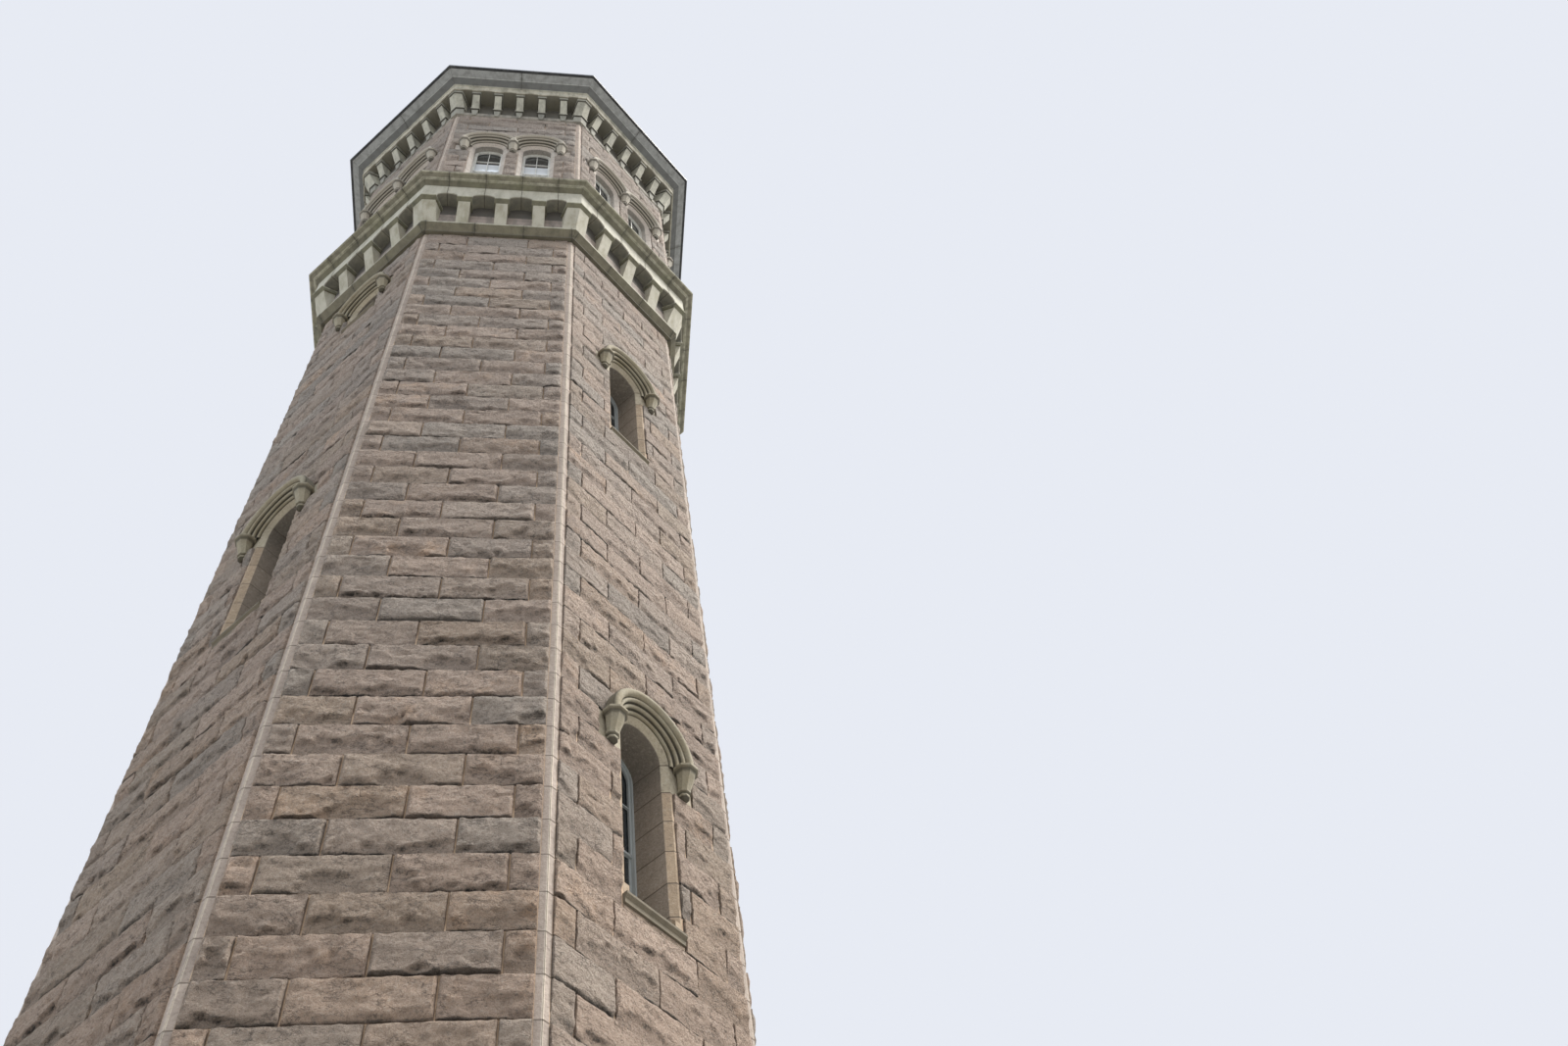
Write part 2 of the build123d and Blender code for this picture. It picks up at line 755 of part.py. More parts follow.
with BuildPart() as side_corbel:
    add(middle_block(upper_cap_outline, upper_cap_width))
    add(middle_block(upper_panel_outline, upper_corbel_width))
    add(middle_block(upper_lip_outline, upper_corbel_width + 2 * block_lip_relief))
    add(hanging_block.part)
with BuildPart() as upper_corbels:
    with PolarLocations(0, side_count):
        add(corner_corbel.part)
        with Locations(*[(0, offset, 0) for offset in spaced(upper_corbel_count, upper_corbel_pitch)]):
            add(side_corbel.part)
upper_corbels.part.label = "upper_corbels"
export_step(upper_corbels.part, "parts/upper_corbels.step")

# Fascia with low arches between the corbels, cornice and dark rim
fascia_reach = shaft_reach + fascia_projection
fascia_outline = [
    (belvedere_inside, belvedere_top),
    (fascia_reach, belvedere_top),
    (fascia_reach, fascia_top),
    (belvedere_inside, fascia_top),
]
upper_bays = bays(
    fascia_reach, upper_corbel_count, upper_corbel_pitch, upper_cap_width, upper_corner_cap_width
)
with BuildPart() as fascia_side:
    add(side_block(fascia_outline))
    for middle, span in upper_bays:
        bay_plane = side_plane(fascia_reach, belvedere_top, middle)
        bay = segmental_shape(bay_plane, span, upper_arch_straight, upper_arch_rise)
        extrude(bay, amount=belvedere_reach - fascia_reach, mode=Mode.SUBTRACT)
with BuildPart() as upper_fascia:
    with PolarLocations(0, side_count):
        add(fascia_side.part)
upper_fascia.part.label = "upper_fascia"
export_step(upper_fascia.part, "parts/upper_fascia.step")

cornice_middle_level = fascia_top + cornice_middle_height
cornice_outline = [
    (belvedere_inside, fascia_top),
    (shaft_reach + cornice_foot, fascia_top),
    (shaft_reach + cornice_foot, fascia_top + cornice_lip),
    (shaft_reach + cornice_middle, cornice_middle_level),
    (shaft_reach + cornice_middle, cornice_middle_level + cornice_lip),
    (shaft_reach + cornice_projection, cornice_top - cornice_lip / 2),
    (shaft_reach + cornice_projection, cornice_top),
    (belvedere_inside, cornice_top),
]
with BuildPart() as upper_cornice:
    with PolarLocations(0, side_count):
        add(side_block(cornice_outline))
upper_cornice.part.label = "upper_cornice"
export_step(upper_cornice.part, "parts/upper_cornice.step")

rim_outline = [
    (shaft_reach + rim_projection - rim_thickness, cornice_top),
    (shaft_reach + rim_projection, cornice_top),
    (shaft_reach + rim_projection, cornice_top + rim_height),
    (shaft_reach + rim_projection - rim_thickness, cornice_top + rim_height),
]
with BuildPart() as gutter_rim:
    with PolarLocations(0, side_count):
        add(side_block(rim_outline))
gutter_rim.part.label = "gutter_rim"
export_step(gutter_rim.part, "parts/gutter_rim.step")

# Roof: eight slopes from the cornice up to the lantern
roof_reach = shaft_reach + roof_eaves
roof_length = ((roof_reach - roof_top_reach) ** 2 + roof_rise**2) ** 0.5
roof_level_thickness = roof_thickness * roof_length / roof_rise
roof_outline = [
    (roof_reach, cornice_top),
    (roof_top_reach, roof_top),
    (roof_top_reach - roof_level_thickness, roof_top),
    (roof_reach - roof_level_thickness, cornice_top),
]
with BuildPart() as roof_slopes:
    with PolarLocations(0, side_count):
        add(side_block(roof_outline))
roof_slopes.part.label = "roof_slopes"
export_step(roof_slopes.part, "parts/roof_slopes.step")

# Lantern: a curb, eight corner posts with louvres between them, eaves and a small spire
curb_reach = roof_top_reach + curb_overhang
with BuildPart() as lantern_curb:
    with BuildSketch(Plane.XY.offset(roof_top)):
        RegularPolygon(curb_reach, side_count, major_radius=False, rotation=corner_turn)
    extrude(amount=curb_height)
lantern_curb.part.label = "lantern_curb"
export_step(lantern_curb.part, "parts/lantern_curb.step")

post_outline = [
    (roof_top_reach - post_width, curb_top),
    (roof_top_reach, curb_top),
    (roof_top_reach, lantern_top),
    (roof_top_reach - post_width, lantern_top),
]
with BuildPart() as lantern_posts:
    with PolarLocations(0, side_count):
        add(corner_block(post_outline, post_width / 2))
lantern_posts.part.label = "lantern_posts"
export_step(lantern_posts.part, "parts/lantern_posts.step")

louvre_reach = roof_top_reach - louvre_inset
louvre_width = 2 * (louvre_reach - louvre_thickness) * corner_slope - post_width / cos(radians(corner_turn))
louvre_outline = [
    (louvre_reach - louvre_thickness, curb_top),
    (louvre_reach, curb_top),
    (louvre_reach, lantern_top),
    (louvre_reach - louvre_thickness, lantern_top),
]
with BuildPart() as lantern_louvres:
    with PolarLocations(0, side_count):
        add(middle_block(louvre_outline, louvre_width))
lantern_louvres.part.label = "lantern_louvres"
export_step(lantern_louvres.part, "parts/lantern_louvres.step")

eaves_reach = roof_top_reach + eaves_overhang
with BuildPart() as lantern_eaves:
    with BuildSketch(Plane.XY.offset(lantern_top)):
        RegularPolygon(eaves_reach, side_count, major_radius=False, rotation=corner_turn)
    extrude(amount=eaves_height)
lantern_eaves.part.label = "lantern_eaves"
export_step(lantern_eaves.part, "parts/lantern_eaves.step")

spire_length = ((eaves_reach - spire_top_reach) ** 2 + spire_rise**2) ** 0.5
spire_level_thickness = spire_thickness * spire_length / spire_rise
spire_outline = [
    (eaves_reach, eaves_top),
    (spire_top_reach, spire_top),
    (spire_top_reach - spire_level_thickness, spire_top),
    (eaves_reach - spire_level_thickness, eaves_top),
]
with BuildPart() as lantern_spire:
    with PolarLocations(0, side_count):
        add(side_block(spire_outline))
lantern_spire.part.label = "lantern_spire"
export_step(lantern_spire.part, "parts/lantern_spire.step")

# Finial: a turned foot, a ball and a tapering spike
ball_level = spire_top + finial_ball
with BuildPart() as finial:
    with BuildSketch(Plane.XZ):
        with BuildLine():
            Polyline(
                (0, spire_top),
                (finial_base, spire_top),
                (finial_base / 2, ball_level),
                (finial_tip, spire_top + finial_height),
                (0, spire_top + finial_height),
                close=True,
            )
        make_face()
    revolve(axis=Axis.Z)
    with Locations((0, 0, ball_level)):
        Sphere(finial_ball / 2)
finial.part.label = "finial"
export_step(finial.part, "parts/finial.step")
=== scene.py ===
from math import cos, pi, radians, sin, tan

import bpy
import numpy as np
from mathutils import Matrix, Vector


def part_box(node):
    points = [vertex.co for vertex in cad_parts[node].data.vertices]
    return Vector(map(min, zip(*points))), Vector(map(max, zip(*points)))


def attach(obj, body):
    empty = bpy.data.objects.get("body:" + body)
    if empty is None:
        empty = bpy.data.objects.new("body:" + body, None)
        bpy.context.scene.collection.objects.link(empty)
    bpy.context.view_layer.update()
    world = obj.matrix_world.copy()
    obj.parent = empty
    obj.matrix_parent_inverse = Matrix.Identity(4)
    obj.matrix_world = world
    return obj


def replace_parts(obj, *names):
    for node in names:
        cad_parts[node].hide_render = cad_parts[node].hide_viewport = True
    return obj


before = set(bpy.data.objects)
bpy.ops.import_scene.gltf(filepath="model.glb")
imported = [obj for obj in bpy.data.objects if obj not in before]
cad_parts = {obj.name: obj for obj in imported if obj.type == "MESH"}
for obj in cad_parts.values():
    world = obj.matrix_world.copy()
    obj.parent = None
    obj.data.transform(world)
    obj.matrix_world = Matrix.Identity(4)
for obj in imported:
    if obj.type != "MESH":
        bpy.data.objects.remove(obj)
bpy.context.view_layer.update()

# %% [markdown]
# # A stone water tower, dressed for its portrait
# The frame above is the tower's exact model, one tenth of the real size: walls, corbels, cornices and roof
# are already there, each at its true place. This script gives them their surfaces: rough granite blocks,
# carved hoods over the windows, painted sashes, slates, and the weather on all of it. Lengths are in metres.
# Nothing that we add may make the tower larger.

MM = 0.001

# %% [markdown]
# ## The plan of the tower
# Eight sides stand round an axis. Every side is the same drawing turned by 45 degrees, so a point is easiest
# to give by its side, its distance along that side from the middle, its height, and how far it stands out
# from the face. One function then turns those four numbers into a place in space, for whole arrays at once.
# A reach is the distance from the axis straight out to the middle of a side.

# %% Sides, reaches and the turn from a side's own numbers to space
SIDE_ANGLES = {
    "right": 0, "back_right": 45, "back": 90, "back_left": 135,
    "left": 180, "front_left": 225, "front": 270, "front_right": 315,
}
CORNER_ANGLE = 22.5
CORNER_SLOPE = tan(radians(CORNER_ANGLE))
EVERY_SIDE = [(angle, 0, 0) for angle in SIDE_ANGLES.values()]
EVERY_CORNER = [(angle + CORNER_ANGLE, 0, 0) for angle in SIDE_ANGLES.values()]
SHAFT_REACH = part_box("shaft_wall_right")[1].x
BELVEDERE_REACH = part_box("belvedere_walls")[1].x


def on_side(angle, reach, along, height):
    """Place in space: the side's outward direction times reach, plus its sideways direction times along."""
    turn = np.radians(angle)
    return np.stack(
        [
            np.cos(turn) * reach - np.sin(turn) * along,
            np.sin(turn) * reach + np.cos(turn) * along,
            height + 0 * along + 0 * reach,
        ],
        axis=-1,
    )


half_sides = [round(reach * CORNER_SLOPE, 4) for reach in (SHAFT_REACH, BELVEDERE_REACH)]
print("half widths of the sides", half_sides)

# %% [markdown]
# ## The camera
# The picture was taken about sixteen metres out, near the foot, with the camera tilted far up and a little to
# one side. A camera can be aimed by a constraint or turned by a matrix. We take the matrix: its columns are
# the camera's right, its up and its backward direction, and three angles give all of them.

# %% Camera
CAMERA_PLACE = Vector((0.19998, -1.58662, 0.1551))
CAMERA_YAW, CAMERA_PITCH, CAMERA_ROLL = radians(17.4205), radians(59.3442), radians(-13.7229)
CAMERA_LENS = 31.58

forward = Vector((
    sin(CAMERA_YAW) * cos(CAMERA_PITCH), cos(CAMERA_YAW) * cos(CAMERA_PITCH), sin(CAMERA_PITCH)
))
level_right = Vector((cos(CAMERA_YAW), -sin(CAMERA_YAW), 0))
level_up = level_right.cross(forward)
camera_right = cos(CAMERA_ROLL) * level_right + sin(CAMERA_ROLL) * level_up
camera_up = cos(CAMERA_ROLL) * level_up - sin(CAMERA_ROLL) * level_right
camera = bpy.data.objects.new("camera", bpy.data.cameras.new("camera"))
camera.data.lens = CAMERA_LENS
camera.data.clip_end = 200
turn = Matrix((camera_right, camera_up, -forward)).transposed().to_4x4()
camera.matrix_world = Matrix.Translation(CAMERA_PLACE) @ turn
bpy.context.scene.collection.objects.link(camera)
bpy.context.scene.camera = camera
bpy.context.scene.view_settings.view_transform = "Standard"
print("camera looks along", [round(part, 3) for part in forward])

# %% [markdown]
# ## Shader sums written as sums
# A material in Blender is a graph of nodes. Drawing such a graph in Python takes many lines, so we wrap one
# output of a node in a small class whose operators add the Math nodes for us: `1 - mask * 0.5` then reads as
# it would on paper.

# %% The socket class
class Socket:
    """One output of a shader node. Sums and products of sockets add Math nodes to the same material."""

    def __init__(self, finish, link):
        self.finish, self.link = finish, link

    def math(self, operation, *values):
        """One Math node in this socket's material."""
        return self.finish.math(operation, *values)

    def __add__(self, other):
        return self.math("ADD", self, other)

    def __sub__(self, other):
        return self.math("SUBTRACT", self, other)

    def __rsub__(self, other):
        return self.math("SUBTRACT", other, self)

    def __mul__(self, other):
        return self.math("MULTIPLY", self, other)

    def __truediv__(self, other):
        return self.math("DIVIDE", self, other)

    def __rtruediv__(self, other):
        return self.math("DIVIDE", other, self)

    def __pow__(self, other):
        return self.math("POWER", self, other)

    def __mod__(self, other):
        return self.math("FLOORED_MODULO", self, other)

    def __abs__(self):
        return self.math("ABSOLUTE", self)

    def __gt__(self, other):
        return self.math("GREATER_THAN", self, other)

    __radd__, __rmul__ = __add__, __mul__

    def between(self, low, high):
        """An even rise from 0 at low to 1 at high, level beyond both. It falls where high is the smaller."""
        return self.finish.node(
            "ShaderNodeMapRange", {"clamp": True}, {"Value": self, "From Min": low, "From Max": high}
        )

    def at_least(self, other):
        """The larger of two values at each point."""
        return self.math("MAXIMUM", self, other)


print("sums are written with the class", Socket.__name__)

# %% [markdown]
# A second class holds one material in the making. Every kind of node but Math comes from its method `node`,
# and the patterns that many finishes share, such as noise and thin lines, have methods of their own. All of
# them read Object coordinates, so a pattern stays where it is on the tower.

# %% The material class
class Finish:
    """A material in the making, with one way to add any node."""

    def __init__(self, name, **surface):
        self.material = bpy.data.materials.new(name)
        self.material.use_nodes = True
        self.tree = self.material.node_tree
        self.surface = self.tree.nodes["Principled BSDF"]
        for socket, value in surface.items():
            self.surface.inputs[socket.replace("_", " ").title()].default_value = value
        self.place = self.node("ShaderNodeTexCoord", output="Object")

    def node(self, kind, settings=None, inputs=None, output=0):
        """Adds any node: its settings first, then the values or links of its inputs. Gives one output."""
        made = self.tree.nodes.new(kind)
        for key, value in (settings or {}).items():
            setattr(made, key, value)
        for key, value in (inputs or {}).items():
            if isinstance(value, Socket):
                self.tree.links.new(value.link, made.inputs[key])
            else:
                made.inputs[key].default_value = value
        return Socket(self, made.outputs[output])

    def math(self, operation, *values):
        """One Math node, for sums that have no operator."""
        return self.node("ShaderNodeMath", {"operation": operation}, dict(enumerate(values)))

    def noise(self, scale, detail=4.0, roughness=0.6, stretch=None):
        """Cloudy values round 0.5, with scale features to the metre, stretched along the axes if asked."""
        place = self.place
        if stretch:
            place = self.node("ShaderNodeVectorMath", {"operation": "MULTIPLY"}, {0: place, 1: stretch})
        inputs = {"Vector": place, "Scale": scale, "Detail": detail, "Roughness": roughness}
        return self.node("ShaderNodeTexNoise", {}, inputs)

    def attribute(self, name):
        """A number that the mesh stores at its points."""
        return self.node("ShaderNodeAttribute", {"attribute_name": name}, output="Fac")

    def side(self):
        """Distance of a point from the axis, square to its own side, and distance from that side's middle."""
        x, y = self.axis(0), self.axis(1)
        radius = (x * x + y * y) ** 0.5
        turn = self.math("PINGPONG", self.math("ARCTAN2", y, x), pi / 8)
        return radius * self.math("COSINE", turn), radius * self.math("SINE", turn)

    def line(self, distance, half_width, soft=0.4 * MM):
        """1 within half_width of a place, given the distance from it, and 0 beyond."""
        return 1 - distance.between(half_width, half_width + soft)

    def axis(self, which):
        """One coordinate of the point in metres: 0, 1 or 2 for x, y or z."""
        return self.node("ShaderNodeSeparateXYZ", {}, {0: self.place}, output=which)

    def mix(self, first, second, share):
        """Colour that goes from first to second as share goes from 0 to 1."""
        first, second = [(*c, 1) if isinstance(c, tuple) else c for c in (first, second)]
        return self.node("ShaderNodeMix", {"data_type": "RGBA"}, {0: share, 6: first, 7: second}, output=2)

    def shade(self, color, amount):
        """The colour made lighter or darker by a factor."""
        grey = self.node("ShaderNodeCombineColor", {}, {0: amount, 1: amount, 2: amount})
        settings = {"data_type": "RGBA", "blend_type": "MULTIPLY"}
        return self.node("ShaderNodeMix", settings, {0: 1.0, 6: color, 7: grey}, output=2)

    def done(self, color, roughness=None, relief=None, depth=1.0 * MM):
        """Links the colour, roughness and relief to the surface and gives back the material."""
        wanted = {"Base Color": color, "Roughness": roughness}
        if relief is not None:
            wanted["Normal"] = self.node("ShaderNodeBump", {}, {"Height": relief, "Distance": depth})
        for socket, value in wanted.items():
            if isinstance(value, Socket):
                self.tree.links.new(value.link, self.surface.inputs[socket])
            elif value is not None:
                self.surface.inputs[socket].default_value = (*value, 1) if isinstance(value, tuple) else value
        return self.material


print("materials are written with the class", Finish.__name__)

# %% [markdown]
# ## Floor and light
# The light is that of an overcast day: a bright dome that fades towards the ground, a broad warm lamp from
# the right, and a weak bluish one from the left, where the shaded side looks into open sky. Both lamps are
# suns with a wide disc, so their shadows are soft. Rays that come straight from the camera, or off glass and
# metal, see a pale backdrop instead of the dome, so that its colour doesn't change the light on the stone.

# %% Floor and dome
FLOOR_SIZE = 60.0
FLOOR_COLOR = (0.37, 0.36, 0.345)
BACKDROP_COLOR, DOME_COLOR = (0.80, 0.83, 0.90, 1), (0.94, 0.97, 1.0, 1)
DOME_FADE = {"From Min": -0.3, "From Max": 0.9, "To Min": 0.18, "To Max": 1.14}

floor_mesh = bpy.data.meshes.new("floor")
corners = [(x * FLOOR_SIZE / 2, y * FLOOR_SIZE / 2, 0) for x, y in ((-1, -1), (1, -1), (1, 1), (-1, 1))]
floor_mesh.from_pydata(corners, [], [(0, 1, 2, 3)])
floor = bpy.data.objects.new("floor", floor_mesh)
bpy.context.scene.collection.objects.link(floor)
floor_mesh.materials.append(Finish("pale_floor", roughness=0.9).done(FLOOR_COLOR))

world = bpy.data.worlds.new("sky")
world.use_nodes = True
bpy.context.scene.world = world
sky = world.node_tree
dome = sky.nodes["Background"]
dome.inputs["Color"].default_value = DOME_COLOR
backdrop = sky.nodes.new("ShaderNodeBackground")
backdrop.inputs["Color"].default_value = BACKDROP_COLOR
direction = sky.nodes.new("ShaderNodeTexCoord")
height_part = sky.nodes.new("ShaderNodeSeparateXYZ")
dome_ramp = sky.nodes.new("ShaderNodeMapRange")
for key, value in DOME_FADE.items():
    dome_ramp.inputs[key].default_value = value
sky.links.new(direction.outputs["Generated"], height_part.inputs[0])
sky.links.new(height_part.outputs["Z"], dome_ramp.inputs["Value"])
sky.links.new(dome_ramp.outputs[0], dome.inputs["Strength"])
rays = sky.nodes.new("ShaderNodeLightPath")
seen = rays.outputs["Is Camera Ray"]
for other in ("Is Glossy Ray", "Is Transmission Ray"):
    either = sky.nodes.new("ShaderNodeMath")
    either.operation = "MAXIMUM"
    sky.links.new(seen, either.inputs[0])
    sky.links.new(rays.outputs[other], either.inputs[1])
    seen = either.outputs[0]
switch = sky.nodes.new("ShaderNodeMixShader")
sky.links.new(seen, switch.inputs["Fac"])
sky.links.new(dome.outputs[0], switch.inputs[1])
sky.links.new(backdrop.outputs[0], switch.inputs[2])
sky.links.new(switch.outputs[0], sky.nodes["World Output"].inputs["Surface"])
print("the dome's strength runs from", DOME_FADE["To Min"], "to", DOME_FADE["To Max"])

# %% [markdown]
# A lamp could be placed and aimed by hand. Two angles are easier to repeat: how far round the tower the light
# comes from, counted from the tower's right side, and how high it stands.

# %% Lamps
def soft_lamp(name, azimuth, elevation, strength, spread, color):
    """A broad lamp far away. Azimuth goes round the tower from its right side, elevation up, in degrees."""
    lamp = bpy.data.objects.new(name, bpy.data.lights.new(name, "SUN"))
    lamp.data.energy, lamp.data.angle, lamp.data.color = strength, radians(spread), color
    across, up = radians(azimuth), radians(elevation)
    source = Vector((cos(across) * cos(up), sin(across) * cos(up), sin(up)))
    lamp.rotation_euler = source.to_track_quat("Z", "Y").to_euler()
    bpy.context.scene.collection.objects.link(lamp)


soft_lamp("right_lamp", azimuth=-10, elevation=55, strength=5.3, spread=22, color=(1.0, 0.975, 0.915))
soft_lamp("left_lamp", azimuth=-150, elevation=52, strength=1.02, spread=60, color=(0.72, 0.87, 1.0))
print("two lamps light the tower")

# %% [markdown]
# ## Random but repeatable roughness
# Broken stone needs numbers that look random and yet come out the same in every run. We mix the whole-number
# coordinates of a lattice into one number between 0 and 1, blend smoothly between the lattice's corners, and
# add a few such layers, each finer and weaker than the one before. The large odd factors below only see to it
# that neighbours in the lattice get numbers with nothing in common.

# %% Lattice noise
ACROSS_FACTOR, UP_FACTOR, SEED_FACTOR, MIXING_FACTOR = 374761393, 668265263, 974634777, 1274126177
ALL_32_BITS, LOW_16_BITS = 0xFFFFFFFF, 0xFFFF
LAYER_FADE = 0.55


def lattice(across, up, seed):
    """A repeatable number from 0 to 1 for each cell: a weighted sum with its high bits folded on the low."""
    mixed = (across * ACROSS_FACTOR + up * UP_FACTOR + seed * SEED_FACTOR) & ALL_32_BITS
    mixed = ((mixed ^ (mixed >> 13)) * MIXING_FACTOR) & ALL_32_BITS
    return ((mixed ^ (mixed >> 16)) & LOW_16_BITS) / LOW_16_BITS


def cloud(across, up, seed, layers=3):
    """Smooth noise from -1 to 1. Each layer blends four lattice corners by a cubic, at twice the detail."""
    total, weight = 0.0, 0.0
    for layer in range(layers):
        x, y = across * 2**layer, up * 2**layer
        column, row = np.floor(x).astype(np.int64), np.floor(y).astype(np.int64)
        fx, fy = x - column, y - row
        fx, fy = fx * fx * (3 - 2 * fx), fy * fy * (3 - 2 * fy)
        key = seed + 101 * layer
        low = lattice(column, row, key) * (1 - fx) + lattice(column + 1, row, key) * fx
        high = lattice(column, row + 1, key) * (1 - fx) + lattice(column + 1, row + 1, key) * fx
        total = total + (low * (1 - fy) + high * fy - 0.5) * LAYER_FADE**layer
        weight += 0.5 * LAYER_FADE**layer
    return total / weight


print("lowest of fifty values:", cloud(np.arange(50) * 0.37, np.arange(50) * 0.61, 3).min().round(2))

# %% [markdown]
# ## Meshes from patches
# Nearly every piece here is a grid of points that a formula gives for two parameters, or a box. We write such
# a shape once, in the side's own numbers: along, height and out. Then we repeat it wherever the tower has
# one. These helpers make the faces and repeat a shape.

# %% Faces of grids and boxes
BOX_CORNERS = np.array([(i, j, k) for i in (0, 1) for j in (0, 1) for k in (0, 1)])
BOX_FACES = np.array([(0, 1, 3, 2), (4, 6, 7, 5), (0, 4, 5, 1), (2, 3, 7, 6), (0, 2, 6, 4), (1, 5, 7, 3)])


def grid_faces(count, rows, columns, keep=None, wrap=False):
    """Corner numbers of the cells of count grids. keep says which stay; wrap joins the last column on."""
    index = np.arange(count * rows * columns).reshape(count, rows, columns)
    if wrap:
        index = np.concatenate([index, index[:, :, :1]], axis=2)
    faces = np.stack(
        [index[:, :-1, :-1], index[:, :-1, 1:], index[:, 1:, 1:], index[:, 1:, :-1]], axis=-1
    )
    faces = faces if keep is None else faces[keep]
    return faces.reshape(-1, 4)


def boxes(along, height, out):
    """Boxes from the two ends of each in three directions: arrays of (box, 2)."""
    shape = [np.array(ends, float)[:, BOX_CORNERS[:, axis]] for axis, ends in enumerate((along, height, out))]
    return shape, (np.arange(len(along))[:, None, None] * 8 + BOX_FACES).reshape(-1, 4)


def repeat(shape, faces, places, reach):
    """The same shape at many places, each given as a side's angle, a distance along it and a height."""
    along, height, out = (part.ravel() for part in shape)
    angle, offset, level = np.array(places, float).T[:, :, None]
    points = on_side(angle, reach + out, offset + along, level + height)
    steps = np.arange(len(places))[:, None, None] * along.size
    return points, (faces[None] + steps).reshape(-1, 4)


print("a box has", len(BOX_CORNERS), "corners and", len(BOX_FACES), "faces")

# %% [markdown]
# All groups of one piece are joined into one mesh, which foreach_set fills from the arrays at once. Faces
# have to look outwards, so each group is turned over if it looks towards the axis. A mesh may also store a
# number at each point, which its material can read. Nodes of the bare model keep their mesh and only get a
# material.


def outward(points, faces):
    """The faces, turned over when together they look towards the tower's axis."""
    corners = points.reshape(-1, 3)[faces]
    normal = np.cross(corners[:, 2] - corners[:, 0], corners[:, 3] - corners[:, 1])
    flux = (normal[:, :2] * corners.mean(axis=1)[:, :2]).sum()
    return faces if flux > 0 else faces[:, ::-1]


def build(name, groups, material, smooth=40, numbers=None):
    """One piece from groups of (points, faces). numbers holds arrays for the points, in the groups' order."""
    points = np.concatenate([group[0].reshape(-1, 3) for group in groups])
    starts = np.cumsum([0] + [group[0].size // 3 for group in groups[:-1]])
    faces = np.concatenate([outward(*group) + start for group, start in zip(groups, starts)])
    used, renumbered = np.unique(faces, return_inverse=True)
    faces = renumbered.reshape(faces.shape)
    mesh = bpy.data.meshes.new(name)
    mesh.vertices.add(len(used))
    mesh.vertices.foreach_set("co", points[used].astype(np.float32).ravel())
    mesh.loops.add(faces.size)
    mesh.loops.foreach_set("vertex_index", faces.astype(np.int32).ravel())
    mesh.polygons.add(len(faces))
    mesh.polygons.foreach_set("loop_start", np.arange(0, faces.size, 4, dtype=np.int32))
    mesh.update(calc_edges=True)
    mesh.polygons.foreach_set("use_smooth", np.ones(len(faces), bool))
    mesh.set_sharp_from_angle(angle=radians(smooth))
    for key, values in (numbers or {}).items():
        stored = mesh.attributes.new(key, "FLOAT", "POINT")
        stored.data.foreach_set("value", np.concatenate([v.ravel() for v in values])[used].astype(np.float32))
    mesh.materials.append(material)
    piece = bpy.data.objects.new(name, mesh)
    bpy.context.scene.collection.objects.link(piece)
    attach(piece, "root")
    return piece


def paint(material, *nodes):
    """Gives nodes of the bare model a material."""
    for node in nodes:
        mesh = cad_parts[node].data
        mesh.materials.clear()
        mesh.materials.append(material)


print("nodes of the bare model:", len(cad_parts))

# %% [markdown]
# ## Where the windows are
# The shaft's windows are staggered: one pair of opposite sides has them at one set of heights, the next pair
# at another. Each is an upright with a half round on top. Under the arch's foot sits a smooth stone on either
# side, the springer, from which the hood's end hangs. Rough stones stop beside the jambs and the springers.
# Two levels sort things by height: an arch above the first belongs to a short window, and between the two
# heights of the other a finish changes from the shaft's to the belvedere's.

# %% Windows of the shaft and of the belvedere
COURSE = 60 * MM
WINDOW_HALF, BELVEDERE_HALF = 43 * MM, 41 * MM
CHAMFER, JAMB_MARGIN, ARRIS_MARGIN = 9 * MM, 3 * MM, 9 * MM
HOOD_BAND, SPRINGER_HALF = 34 * MM, 98 * MM
SILL_HEIGHT, SILL_HALF = 20 * MM, 57 * MM
SHAFT_STRAIGHT, SHORT_STRAIGHT, BELVEDERE_STRAIGHT = 332 * MM, 98 * MM, 360 * MM
LEFT_WINDOWS = [(0, 760 * MM, SHAFT_STRAIGHT), (0, 2046 * MM, SHAFT_STRAIGHT), (0, 3358 * MM, SHORT_STRAIGHT)]
RIGHT_WINDOWS = [(0, 1410 * MM, SHAFT_STRAIGHT), (0, 2718 * MM, SHAFT_STRAIGHT)]
SHAFT_WINDOWS = {
    "front_left": LEFT_WINDOWS, "back_right": LEFT_WINDOWS,
    "front_right": RIGHT_WINDOWS, "back_left": RIGHT_WINDOWS,
}
BELVEDERE_OFFSET, BELVEDERE_SILL = 71 * MM, 4020 * MM
SHORT_WINDOW_LEVEL, BELVEDERE_LEVEL = 3300 * MM, (3900 * MM, 3950 * MM)
BELVEDERE_WINDOWS = [(sign * BELVEDERE_OFFSET, BELVEDERE_SILL, BELVEDERE_STRAIGHT) for sign in (-1, 1)]


def springer_course(spring):
    """Bottom and top of the course under an arch's foot, whose stones are smooth."""
    bottom = float(np.floor((spring - COURSE / 2) / COURSE) * COURSE)
    return bottom, bottom + COURSE


print(sum(len(windows) for windows in SHAFT_WINDOWS.values()), "windows in the shaft, two a side above")

# %% [markdown]
# ## Dividing a wall into stones
# The real wall is laid in even courses, 60 cm high. A course with a short stone at each corner and two long
# ones between is followed by a course with three stones, so that no upright joint stands over another, and a
# corner stone that is short on one side is long on the next. We list each stone by its two ends and its two
# bed joints. This is a short list, so a plain loop over courses is fine.

# %% Courses and stones
JOINT = 1.4 * MM
SHORT_CORNER, LONG_CORNER = 44 * MM, 108 * MM
STONE_LENGTH = 150 * MM
SLIVER = 4 * MM


